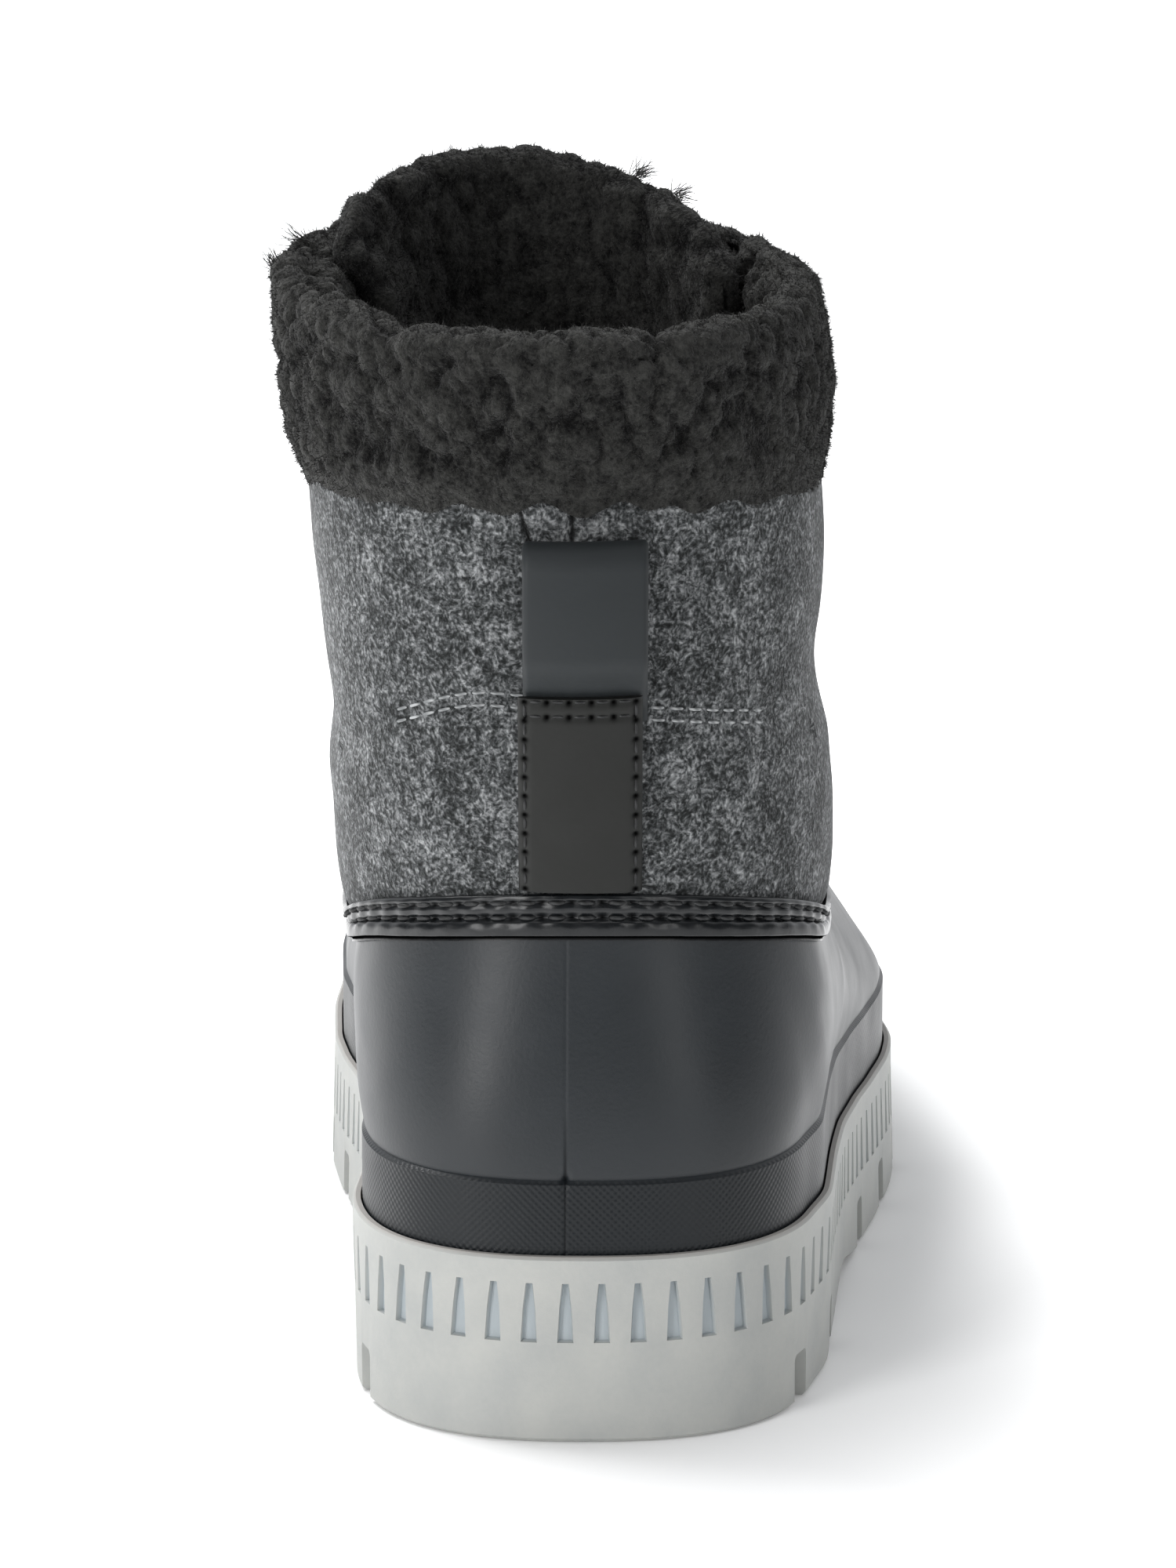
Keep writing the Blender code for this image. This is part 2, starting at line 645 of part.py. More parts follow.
def heel_strap():
    """Strip sewn down the back of the felt. Its head lies over the two ends of the pull loop."""
    heights = np.linspace(STRAP_FOOT, STRAP_HEAD, 6)
    over_loop = 2 * LOOP_PLY + 5 * GAP
    lift = GAP + 0.2 + over_loop * np.linspace(0, 1, 6)
    outer = strip_grid(heights, lift + STRAP_SKIN, STRAP_MIDDLE)
    inner = strip_grid(heights, lift, STRAP_MIDDLE)
    return wall("heel_strap", outer, inner, False, BLACK_LEATHERETTE)


def pull_loop():
    """Folded strip above the heel strap: an inner ply on the felt and an outer ply that stands off it."""
    rest = GAP + 0.2
    foot = STRAP_HEAD - LOOP_TUCK
    fold = (LOOP_ROOM - 1.6) / 2
    bend = LOOP_TOP - fold - LOOP_PLY
    inside = rest + LOOP_PLY
    outer_ply = table(
        "height out",
        (foot, inside + GAP),
        (foot + 0.4 * LOOP_TUCK, inside + GAP),
        (STRAP_HEAD + 1.5, inside + 1.3),
        (STRAP_HEAD + 8.0, inside + LOOP_ROOM),
        (STRAP_HEAD + 15.0, inside + LOOP_ROOM - 0.5),
        (bend, inside + 2 * fold),
    )
    turn = np.linspace(0, math.pi, 5)[1:]
    height = np.concatenate([outer_ply["height"], bend + fold * np.sin(turn), [foot]])
    out = np.concatenate([outer_ply["out"], inside + fold + fold * np.cos(turn), [inside]])
    along = np.gradient(np.stack([height, out]), axis=1)
    along /= np.linalg.norm(along, axis=0)
    inner = strip_grid(height, out, LOOP_MIDDLE)
    outer = strip_grid(height - along[1] * LOOP_PLY, out + along[0] * LOOP_PLY, LOOP_MIDDLE)
    return wall("pull_loop", outer, inner, False, BLACK_LEATHERETTE)


def eyestay(name, mirror):
    """Facing along one edge of the throat, following the felt."""
    angle = ring_angles(EYESTAY_ANGLE, THROAT_ANGLE) * mirror + RING_START
    foot = seam_height(angle) + BAND_ABOVE + 1.6
    height = foot + np.linspace(0, 1, 8)[:, None] * (EYESTAY_HEAD - foot)
    across = np.broadcast_to(angle, height.shape)
    outer = shaft_point(across, height, EYESTAY_CLEAR + EYESTAY_SKIN)
    inner = shaft_point(across, height, EYESTAY_CLEAR)
    return wall(name, outer, inner, False, BLACK_LEATHERETTE)


def eyelet(name, angle, height):
    """Round metal ring that sits on the eyestay."""
    centre = shaft_point(angle, height, EYELET_SEAT)
    axis = unit(shaft_point(angle, height, EYELET_SEAT + 1.0) - centre)
    side = unit(np.cross([0, 0, 1], axis))
    up = np.cross(axis, side)
    bevel = 0.6
    corners = (
        (EYELET_HOLE, 0.0),
        (EYELET_RADIUS, 0.0),
        (EYELET_RADIUS - bevel, EYELET_HEIGHT),
        (EYELET_HOLE + bevel, EYELET_HEIGHT),
    )
    sections = []
    for turn in np.linspace(0, 2 * math.pi, 10, endpoint=False):
        spoke = side * math.cos(turn) + up * math.sin(turn)
        sections.append([centre + spoke * radius + axis * rise for radius, rise in corners])
    return sweep(name, np.array(sections), True, BLACK_METAL)


def lace_run(start, end):
    """A tube from one eyelet to another, each given by its ring angle and height, over the throat."""
    over_eyelet = EYELET_SEAT + EYELET_HEIGHT + 2 * GAP + LACE_RADIUS
    t = np.linspace(0, 1, 8)
    angle = start[0] + t * (end[0] - start[0])
    height = start[1] + t * (end[1] - start[1])
    inside = np.clip(1 - np.abs(np.degrees(angle) - 180) / (180 - THROAT_ANGLE), 0, 1)
    path = shaft_point(angle, height, over_eyelet - LACE_SAG * np.minimum(1, 1.6 * inside) ** 1.5)
    along = unit(np.gradient(path, axis=0))
    side = unit(np.cross(along, [0, 0, 1]))
    up = np.cross(side, along)
    sections = []
    for turn in np.linspace(0, 2 * math.pi, 6, endpoint=False):
        sections.append(path + LACE_RADIUS * (side * math.cos(turn) + up * math.sin(turn)))
    return np.array(sections).transpose(1, 0, 2)


def lace():
    """Criss-cross lacing: a bar at the foot and pairs of runs up to the top eyelets, joined as one solid."""
    left, right = math.radians(360 - EYELET_ANGLE), math.radians(EYELET_ANGLE)
    past = math.radians(1.0)  # a run ends this far past its eyelet, inside the next one
    runs = [((right - past, EYELET_HEIGHTS[0]), (left + past, EYELET_HEIGHTS[0]))]
    for low, high in zip(EYELET_HEIGHTS, EYELET_HEIGHTS[1:]):
        runs.append(((right, low), (left + past, high)))
        runs.append(((left, low), (right - past, high)))
    body = sweep("lace", lace_run(*runs[0]), False, BLACK_CORD)
    for i, run in enumerate(runs[1:]):
        piece = sweep(f"lace_run_{i}", lace_run(*run), False, None)
        piece.hide_render = True
        piece.display_type = "WIRE"
        join = body.modifiers.new(piece.name, "BOOLEAN")
        join.operation = "UNION"
        join.object = piece
    return body


def place_on_origin(bodies):
    """Hangs every piece on one empty that puts the origin under the middle of the whole boot."""
    bpy.context.view_layer.update()
    graph = bpy.context.evaluated_depsgraph_get()
    corners = np.array([corner for body in bodies for corner in body.evaluated_get(graph).bound_box])
    low, high = corners.min(axis=0), corners.max(axis=0)
    boot = bpy.data.objects.new("boot", None)
    bpy.context.scene.collection.objects.link(boot)
    boot.location = (-(low[0] + high[0]) / 2, -(low[1] + high[1]) / 2, -low[2])
    for helper in [item for item in bpy.data.objects if item.type == "MESH"]:
        helper.parent = boot


def main():
    for old in list(bpy.data.objects):
        bpy.data.objects.remove(old)
    bodies = [outsole(), insole(), rubber_shell(), felt_shaft(), seam_band(), fleece_cuff(), tongue()]
    bodies += [heel_strap(), pull_loop()]
    for side, mirror in (("lateral", 1), ("medial", -1)):
        bodies.append(eyestay(f"eyestay_{side}", mirror))
        for i, height in enumerate(EYELET_HEIGHTS):
            bodies.append(eyelet(f"eyelet_{side}_{i + 1}", math.radians(mirror * EYELET_ANGLE), height))
    bodies.append(lace())
    place_on_origin(bodies)


main()
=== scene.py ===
# %% [markdown]
# # Dressing a winter duck boot
# The boot is a right one, seen from behind: a light grey cup sole, a moulded black rubber shell, a shaft of
# marled wool felt, a turned-over fleece cuff and a fleece tongue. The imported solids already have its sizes.
# This lesson repeats their form functions, makes a finer skin of every soft or moulded piece from them, and
# gives each its finish. Working from the same functions keeps every new skin on its solid, with no fitting.

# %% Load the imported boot
import math

import bpy
import numpy as np
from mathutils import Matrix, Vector, kdtree, noise


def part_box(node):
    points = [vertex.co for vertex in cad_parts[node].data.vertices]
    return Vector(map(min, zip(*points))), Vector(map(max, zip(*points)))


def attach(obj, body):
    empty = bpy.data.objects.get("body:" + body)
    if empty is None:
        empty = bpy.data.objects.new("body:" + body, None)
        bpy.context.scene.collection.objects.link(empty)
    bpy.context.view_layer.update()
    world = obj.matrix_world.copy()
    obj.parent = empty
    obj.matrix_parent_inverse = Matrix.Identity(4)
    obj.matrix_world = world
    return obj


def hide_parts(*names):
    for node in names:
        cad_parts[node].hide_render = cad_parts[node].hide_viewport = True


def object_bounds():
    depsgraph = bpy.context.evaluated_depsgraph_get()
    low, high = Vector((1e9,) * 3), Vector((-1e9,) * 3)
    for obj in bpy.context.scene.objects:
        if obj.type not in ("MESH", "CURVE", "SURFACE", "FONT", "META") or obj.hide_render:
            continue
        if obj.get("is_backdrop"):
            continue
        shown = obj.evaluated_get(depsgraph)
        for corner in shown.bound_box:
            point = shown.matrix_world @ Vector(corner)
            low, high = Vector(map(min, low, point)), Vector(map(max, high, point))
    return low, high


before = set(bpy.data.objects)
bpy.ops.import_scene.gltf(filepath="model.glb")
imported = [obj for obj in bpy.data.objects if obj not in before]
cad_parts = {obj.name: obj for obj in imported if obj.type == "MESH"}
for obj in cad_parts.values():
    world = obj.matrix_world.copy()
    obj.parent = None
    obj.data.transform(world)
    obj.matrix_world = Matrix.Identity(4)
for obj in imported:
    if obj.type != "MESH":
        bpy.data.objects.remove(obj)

cad_low, cad_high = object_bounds()
rng = np.random.default_rng(11)
print("solids:", len(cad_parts), "box in mm:", [round(1000 * side) for side in cad_high - cad_low])

# %% [markdown]
# ## The form functions
# A last, the block that a boot is built on, is drawn as level rings at a few heights, and a sole as widths
# at a few stations from heel to toe. Short tables hold those sizes, and a smooth curve reads between rows.
# Sizes are in millimetres in the boot's own frame: x to the lateral side, y from heel to toe, z up.

# %% Sizes and tables of the form
MM = 0.001
GAP = 0.3
LENGTH, HEEL_ROUND, TOE_ROUND, SQUARENESS = 266.0, 39.0, 72.0, 2.4
RIM_WALL, RIM_CHAMFER = 1.3, 0.5
SHELL_WALL, FOXING_HEIGHT, FOXING_STEP, FOXING_BEVEL = 3.0, 11.5, 0.6, 0.6
FELT_WALL, SEAM_GAP, THROAT_ANGLE = 3.5, 0.5, 150
COLLAR_HEIGHT, COLLAR_RISE, COLLAR_TILT = 178.0, 5.0, 5.5
INSOLE_THICKNESS = 5.0
INSOLE_INSET = RIM_WALL + GAP + SHELL_WALL + GAP + 0.2


def table(names, *rows):
    """A short table as one array per named column."""
    return dict(zip(names.split(), np.array(rows, float).T))


SOLE = table(
    "along middle half rim floor tread lean",
    (0, -0.6, 39.0, 30.3, 18.0, 0.0, -1.6),
    (25, -0.3, 38.5, 30.2, 18.0, 0.0, 0.3),
    (40, 0.9, 39.5, 30.0, 18.0, 0.0, 0.5),
    (60, 2.3, 39.7, 29.3, 17.6, 0.0, 0.3),
    (80, 3.6, 40.4, 28.3, 16.6, 3.0, 0.0),
    (100, 4.6, 42.6, 27.0, 15.4, 0.0, -0.3),
    (120, 5.0, 46.2, 25.8, 14.4, 0.0, -0.6),
    (140, 4.9, 49.8, 24.8, 13.7, 0.0, -0.6),
    (155, 4.5, 51.1, 24.2, 13.3, 0.0, -0.6),
    (175, 3.0, 50.4, 23.8, 13.1, 0.0, -0.5),
    (195, 1.6, 48.2, 24.2, 13.4, 0.3, -0.3),
    (215, 0.2, 46.4, 25.4, 14.6, 1.8, 0.0),
    (240, -1.6, 44.8, 28.2, 17.4, 5.4, 0.5),
    (266, -3.2, 42.5, 32.0, 21.5, 10.0, 1.0),
)
SHAFT = table(
    "height middle half back front egg",
    (64, 0.3, 38.0, 6.0, 182.0, 0.40),
    (73, -0.1, 38.5, 5.8, 168.0, 0.38),
    (78, -0.4, 40.9, 5.6, 160.5, 0.36),
    (86, -0.6, 41.4, 5.3, 149.5, 0.33),
    (95, -0.9, 41.3, 4.8, 137.0, 0.27),
    (104, -1.5, 40.7, 4.4, 125.5, 0.21),
    (114, -2.3, 40.2, 4.2, 115.5, 0.15),
    (127, -2.7, 40.9, 3.9, 107.5, 0.09),
    (140, -3.4, 41.6, 3.5, 103.2, 0.05),
    (155, -4.2, 41.6, 3.0, 101.2, 0.04),
    (200, -5.4, 41.6, 2.5, 100.0, 0.03),
)
SEAM = table(
    "share height",
    (0.00, 85.7),
    (0.10, 81.3),
    (0.30, 73.4),
    (0.50, 73.2),
    (0.70, 78.0),
    (0.86, 85.8),
    (1.00, 92.0),
)
SHELL = table(
    "along rise reach drop swell",
    (0, 14.0, 0.00, 14.0, 0.5),
    (40, 12.0, 0.10, 13.0, 3.0),
    (90, 10.0, 0.25, 12.0, 2.6),
    (140, 5.0, 0.32, 14.0, 0.3),
    (190, 3.5, 0.40, 13.0, 0.0),
    (235, 12.0, 0.48, 13.0, 0.0),
    (266, 16.0, 0.46, 16.0, 0.0),
)


# %% Curves and surfaces of the form
def smooth(columns, name, at):
    """Reads a column between its rows on a smooth curve that never swings past them."""
    x, y = next(iter(columns.values())), columns[name]
    at = np.clip(np.asarray(at, float), x[0], x[-1])
    step = np.diff(x)
    rate = np.diff(y) / step
    slope = np.zeros_like(y)
    slope[0], slope[-1] = rate[0], rate[-1]
    level = rate[:-1] * rate[1:] > 0
    mean = 2 * rate[:-1] * rate[1:] / np.where(level, rate[:-1] + rate[1:], 1)
    slope[1:-1] = np.where(level, mean, 0)
    i = np.clip(np.searchsorted(x, at) - 1, 0, len(step) - 1)
    t = (at - x[i]) / step[i]
    return (
        y[i] * (1 + 2 * t) * (1 - t) ** 2
        + slope[i] * step[i] * t * (1 - t) ** 2
        + y[i + 1] * t**2 * (3 - 2 * t)
        + slope[i + 1] * step[i] * t**2 * (t - 1)
    )


def unit(vectors):
    return vectors / np.linalg.norm(vectors, axis=-1, keepdims=True)


def points(x, y, z):
    return np.stack(np.broadcast_arrays(x, y, z), axis=-1).astype(float)


def share_along(angle):
    """Share of a ring's length from back to front at a ring angle, 0 at the heel and pi at the toe."""
    return (1 - np.cos(angle)) / 2


def sole_outline(angle, inset=0.0):
    """Points (x, y) of the sole's outline at ring angles, moved in by inset along its normal."""

    def at(a):
        along = LENGTH * share_along(a)
        heel = np.clip(1 - along / HEEL_ROUND, 0, 1) ** SQUARENESS
        toe = np.clip(1 - (LENGTH - along) / TOE_ROUND, 0, 1) ** SQUARENESS
        round_end = ((1 - heel) * (1 - toe)) ** (1 / SQUARENESS)
        half = smooth(SOLE, "half", along) * round_end * np.sign(np.sin(a))
        return np.stack([smooth(SOLE, "middle", along) + half, along], axis=-1)

    small = 1e-3
    tangent = unit(at(angle + small) - at(angle - small))
    inward = np.stack([-tangent[..., 1], tangent[..., 0]], axis=-1)
    return at(angle) + np.asarray(inset)[..., None] * inward


def shaft_point(angle, height, out=0.0):
    """Points of the felt's outer surface at ring angles and heights, moved out along its normal."""

    def at(a, z):
        back, front = smooth(SHAFT, "back", z), smooth(SHAFT, "front", z)
        egg = smooth(SHAFT, "egg", z)
        width = np.sin(a) * (1 + egg * np.cos(a)) / (1 + egg**2 / 2)
        x = smooth(SHAFT, "middle", z) + smooth(SHAFT, "half", z) * width
        return points(x, back + (front - back) * share_along(a), z)

    angle, height = np.broadcast_arrays(np.asarray(angle, float), np.asarray(height, float))
    small_angle, small_height = 1e-3, 0.05
    around = at(angle + small_angle, height) - at(angle - small_angle, height)
    up = at(angle, height + small_height) - at(angle, height - small_height)
    return at(angle, height) + np.asarray(out)[..., None] * unit(np.cross(around, up))


def seam_height(angle):
    return smooth(SEAM, "height", share_along(angle))


def collar_height(angle):
    share = share_along(angle)
    return COLLAR_HEIGHT + COLLAR_RISE * share**2 + COLLAR_TILT * share * np.maximum(-np.sin(angle), 0)


def shell_surface(angle, rise_shares):
    """Outer surface of the shell at shares of its rise from the foxing's head to the seam."""
    inset = RIM_WALL + GAP + FOXING_STEP
    base = sole_outline(angle, inset)
    along = LENGTH * share_along(angle)
    swell = smooth(SHELL, "swell", along) * (sole_outline(angle, inset - 1) - base).T
    foxing_head = smooth(SOLE, "rim", along) + FOXING_HEIGHT + FOXING_BEVEL
    start = points(base[:, 0], base[:, 1], foxing_head)
    end = shaft_point(angle, seam_height(angle) - SEAM_GAP / 2)
    rise = start + points(*swell, smooth(SHELL, "rise", along))
    leave = end + smooth(SHELL, "reach", along)[:, None] * (start - end) * [1, 1, 0]
    leave += points(*swell, -smooth(SHELL, "drop", along))
    t = np.asarray(rise_shares)[:, None, None]
    return (
        (1 - t) ** 3 * start + 3 * t * (1 - t) ** 2 * rise + 3 * t**2 * (1 - t) * leave + t**3 * end
    )


def ring_normals(grid):
    """Outward normals of rows of points that close round the boot."""
    around = np.roll(grid, -1, axis=1) - np.roll(grid, 1, axis=1)
    return unit(np.cross(around, np.gradient(grid, axis=0)))


coarse_ring = np.radians(np.arange(0, 360, 6)) + 1e-4
insole_corner = np.array(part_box("insole")[0]) / MM
SHIFT = np.append(sole_outline(coarse_ring, INSOLE_INSET).min(axis=0) - insole_corner[:2], 0.0)
print("the packed origin lies at", SHIFT.round(2), "mm of the boot's own frame")

# %% [markdown]
# ## Camera and light
# The lens looks along the boot from behind its heel, a little from above, and from nearly a metre away, so
# the sides hardly converge. The frame is portrait, 1500 by 2000, so Blender's sensor size is that of the
# long side. A softbox high up beyond the toe to the left casts the soft shadow to the right. Two tall ones
# beside the lens draw the upright bands of light on the rubber, and a weak one high up between lens and
# boot lights the fleece opening. The room is dark behind the lens and white above and beyond the boot. A
# pale floor fills the frame, because the lens looks down everywhere in it. It glows with painted light away
# from the boot, except right of the frame and towards the lens, so that black rubber keeps a dark side.

# %% Camera at the photo's angle
FRAME_HEIGHT_PX = 2000
FOCAL_PX = 7565
CAMERA_DISTANCE = 923.0
CAMERA_ELEVATION = math.radians(13.3)
CAMERA_TARGET = np.array([0.0, 0.0, 107.6])


def to_frame(spots):
    """Points in the boot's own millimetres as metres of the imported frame."""
    return (np.asarray(spots, float) - SHIFT) * MM


camera = bpy.data.objects.new("camera", bpy.data.cameras.new("camera"))
camera.data.lens = FOCAL_PX / FRAME_HEIGHT_PX * camera.data.sensor_width
camera.data.clip_start, camera.data.clip_end = 0.05, 50.0
behind = np.array([0.0, -math.cos(CAMERA_ELEVATION), math.sin(CAMERA_ELEVATION)])
camera.location = to_frame(CAMERA_TARGET + CAMERA_DISTANCE * behind)
camera.rotation_euler = (math.pi / 2 - CAMERA_ELEVATION, 0, 0)
bpy.context.scene.collection.objects.link(camera)
bpy.context.scene.camera = camera
bpy.context.scene.view_settings.view_transform = "Standard"
print("lens", round(camera.data.lens, 1), "mm at", [round(c, 3) for c in camera.location])


# %% Colours and nodes
def linear(colour):
    """An sRGB hex colour as linear RGBA."""
    channels = np.array([int(colour[i : i + 2], 16) for i in (1, 3, 5)]) / 255
    curved = np.where(channels <= 0.04045, channels / 12.92, ((channels + 0.055) / 1.055) ** 2.4)
    return (*(float(c) for c in curved), 1.0)


def node(tree, kind, inputs=None, **settings):
    """Adds a node with its settings. An input is a value, or the socket that it is linked from."""
    made = tree.nodes.new(kind)
    for name, value in settings.items():
        setattr(made, name, value)
    for name, value in (inputs or {}).items():
        if isinstance(value, bpy.types.NodeSocket):
            tree.links.new(value, made.inputs[name])
        else:
            made.inputs[name].default_value = value
    return made


def new_material(name, **shader_inputs):
    """A material, its tree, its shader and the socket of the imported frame's coordinates in metres."""
    material = bpy.data.materials.new(name)
    material.use_nodes = True
    tree = material.node_tree
    shader = tree.nodes["Principled BSDF"]
    print("finish:", name)
    for socket, value in shader_inputs.items():
        shader.inputs[socket.replace("_", " ")].default_value = value
    return material, tree, shader, node(tree, "ShaderNodeTexCoord").outputs["Object"]


# %% Pale floor
# Uncoated paper is matt and white, with clouds too faint to notice.
paper, tree, shader, where = new_material("matt_white_paper", Roughness=0.9, IOR=1.45)
PAPER_CLOUD_MM = 1000 / 3
paper_grain = node(tree, "ShaderNodeTexNoise", {"Vector": where, "Scale": 1 / (PAPER_CLOUD_MM * MM)})
paper_tone = node(
    tree,
    "ShaderNodeMix",
    {"Factor": paper_grain.outputs["Fac"], "A": linear("#F3F3F3"), "B": linear("#F6F6F6")},
    data_type="RGBA",
)
tree.links.new(paper_tone.outputs["Result"], shader.inputs["Base Color"])
# The paper's emission is painted light: a glow that is weak near the boot, so that its shadow shows.
shader.inputs["Emission Color"].default_value = linear("#FFFFFF")
FLOOR_HALF = 5.0
NEAR_GLOW, FAR_GLOW = 0.05, 0.95  # away from the boot the paper glows with painted light and stays white
SLIM = (2.2, 1.15, 1.0)  # the boot is about twice as long as wide
slimmed = node(tree, "ShaderNodeVectorMath", {0: where, 1: SLIM}, operation="MULTIPLY")
from_boot = node(tree, "ShaderNodeVectorMath", {0: slimmed.outputs["Vector"]}, operation="LENGTH")
glow = node(
    tree,
    "ShaderNodeMapRange",
    {
        "Value": from_boot.outputs["Value"],
        "From Min": 0.12,
        "From Max": 0.31,
        "To Min": NEAR_GLOW,
        "To Max": FAR_GLOW,
    },
    interpolation_type="SMOOTHSTEP",
)
KEPT_GLOW = 0.12  # share of the painted glow that is left right of the frame and towards the lens
spot = node(tree, "ShaderNodeSeparateXYZ", {"Vector": where})
depth = node(tree, "ShaderNodeMath", {0: spot.outputs["Y"], 1: -float(camera.location[1])}, operation="ADD")
slope = node(tree, "ShaderNodeMath", {0: spot.outputs["X"], 1: depth.outputs["Value"]}, operation="DIVIDE")
painted_glow = glow.outputs["Result"]
for value, dark, bright in ((slope.outputs["Value"], 0.17, 0.105), (spot.outputs["Y"], -0.27, -0.2)):
    share = node(
        tree,
        "ShaderNodeMapRange",
        {"Value": value, "From Min": dark, "From Max": bright, "To Min": KEPT_GLOW, "To Max": 1.0},
        interpolation_type="SMOOTHSTEP",
    )
    painted_glow = node(tree, "ShaderNodeMath", {0: painted_glow, 1: share.outputs["Result"]}, operation="MULTIPLY").outputs[0]
tree.links.new(painted_glow, shader.inputs["Emission Strength"])
floor_mesh = bpy.data.meshes.new("floor")
floor_mesh.from_pydata(
    [(x * FLOOR_HALF, y * FLOOR_HALF, -0.0002) for x, y in ((-1, -1), (1, -1), (1, 1), (-1, 1))],
    [],
    [(0, 1, 2, 3)],
)
floor = bpy.data.objects.new("floor", floor_mesh)
floor.data.materials.append(paper)
bpy.context.scene.collection.objects.link(floor)
floor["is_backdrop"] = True

# %% Softboxes and the white room
ROOM_DIM, ROOM_WHITE = 0.12, 0.9  # behind the lens, and behind the boot, where the paper runs up the wall
world = bpy.data.worlds.new("white_room")
bpy.context.scene.world = world
world.use_nodes = True
tree = world.node_tree
room = tree.nodes["Background"]
room.inputs["Color"].default_value = linear("#FAFCFF")
direction = node(tree, "ShaderNodeTexCoord").outputs["Generated"]
ahead = node(tree, "ShaderNodeVectorMath", {0: direction, 1: (0.0, 1.0, 0.5)}, operation="DOT_PRODUCT")
whiteness = node(
    tree,
    "ShaderNodeMapRange",
    {
        "Value": ahead.outputs["Value"],
        "From Min": 0.15,
        "From Max": 0.7,
        "To Min": ROOM_DIM,
        "To Max": ROOM_WHITE,
    },
    interpolation_type="SMOOTHSTEP",
)
tree.links.new(whiteness.outputs["Result"], room.inputs["Strength"])


def softbox(name, place, width, height, watts, aim=(0.0, -0.05, 0.09)):
    """A rectangular area light that faces the boot."""
    light = bpy.data.objects.new(name, bpy.data.lights.new(name, "AREA"))
    light.data.energy = watts
    light.data.shape = "RECTANGLE"
    light.data.size, light.data.size_y = width, height
    light.location = place
    light.rotation_euler = (Vector(aim) - Vector(place)).to_track_quat("-Z", "Y").to_euler()
    bpy.context.scene.collection.objects.link(light)


softbox("key_high_left", (-0.55, 0.4, 1.3), 0.6, 0.6, 14)
softbox("tall_left", (-0.86, -1.04, 0.5), 0.42, 1.1, 9.3)
softbox("tall_right", (0.75, -1.05, 0.5), 0.3, 1.1, 2.7)
softbox("high_behind", (0.0, -0.6, 1.35), 0.7, 0.4, 1.3)

# %% [markdown]
# ## Meshes from sections
# Nearly every piece of a boot is a strip or a wall with one section along its length. One function lofts a
# closed mesh through such sections, and another hangs the piece on the boot's one body and hides the solid
# that it stands for. Marks are numbers stored at the points, which a material can read.


# %% Loft and dress
def mesh_piece(name, vertices, faces, marks=None, sharp=40.0):
    """A smooth-shaded object from points in the boot's own millimetres and faces that turn outwards."""
    mesh = bpy.data.meshes.new(name)
    mesh.from_pydata(to_frame(vertices).tolist(), [], faces)
    for mark, values in (marks or {}).items():
        stored = mesh.attributes.new(mark, "FLOAT", "POINT")
        stored.data.foreach_set("value", np.ravel(values).astype(np.float32))
    mesh.shade_smooth()
    mesh.set_sharp_from_angle(angle=math.radians(sharp))
    piece = bpy.data.objects.new(name, mesh)
    bpy.context.scene.collection.objects.link(piece)
    return piece


def volume(corners):
    """Six times the volume inside quads, given by their corners. It is negative if they face inwards."""
    a, b, c, d = np.moveaxis(corners, -2, 0)
    return float(np.sum(a * np.cross(b, c)) + np.sum(a * np.cross(c, d)))


def quads_between(this, after):
    """Quads from closed rows of point numbers to the rows that come after them."""
    return np.stack([this, np.roll(this, -1, axis=-1), np.roll(after, -1, axis=-1), after], axis=-1)


def loft_quads(sections, ring):
    """Point numbers of the quads between closed sections, turned outwards."""
    count, size = sections.shape[:2]
    number = np.arange(count * size).reshape(count, size)
    this, after = (number, np.roll(number, -1, axis=0)) if ring else (number[:-1], number[1:])
    quads = quads_between(this, after).reshape(-1, 4)
    ends = [] if ring else [number[0, ::-1], number[-1]]
    if volume(sections.reshape(-1, 3)[quads]) < 0:
        return quads[:, ::-1], [end[::-1] for end in ends]
    return quads, ends


def loft(name, sections, ring=False, marks=None, sharp=40.0):
    """A closed mesh through closed sections, an array of sections of points. An open loft gets flat ends."""
    quads, ends = loft_quads(sections, ring)
    faces = quads.tolist() + [end.tolist() for end in ends]
    return mesh_piece(name, sections.reshape(-1, 3), faces, marks, sharp)


def section_normals(sections, ring):
    """Outward normals at the points of a loft."""
    if ring:
        along = np.roll(sections, -1, axis=0) - np.roll(sections, 1, axis=0)
    else:
        along = np.gradient(sections, axis=0)
    across = np.roll(sections, -1, axis=1) - np.roll(sections, 1, axis=1)
    normals = np.cross(across, along)
    normals /= np.maximum(np.linalg.norm(normals, axis=-1, keepdims=True), 1e-9)
    count, size = sections.shape[:2]
    number = np.arange(count * size).reshape(count, size)
    quads = np.stack([number[:-1, :-1], number[:-1, 1:], number[1:, 1:], number[1:, :-1]], axis=-1)
    return normals if volume(sections.reshape(-1, 3)[quads.reshape(-1, 4)]) > 0 else -normals


def dress(piece, finish, slot, *nodes):
    """Gives a piece its finish, hangs it on the boot's body and hides the solids that it stands for."""
    piece.data.materials.append(finish)
    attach(piece, "root")
    if nodes:
        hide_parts(*nodes)
    print(piece.name, "has", sum(len(face.vertices) - 2 for face in piece.data.polygons), "triangles")
    return piece


# %% [markdown]
# ## Cup sole
# The sole is injection moulded in light grey thermoplastic rubber: a cup with a thin lip, tapered slots all
# round its side, and chevron grooves between the lugs. The slots are real recesses in a grid that runs round
# the side, so they keep their shape from any angle, and a bevel rounds the edges as a mould does.

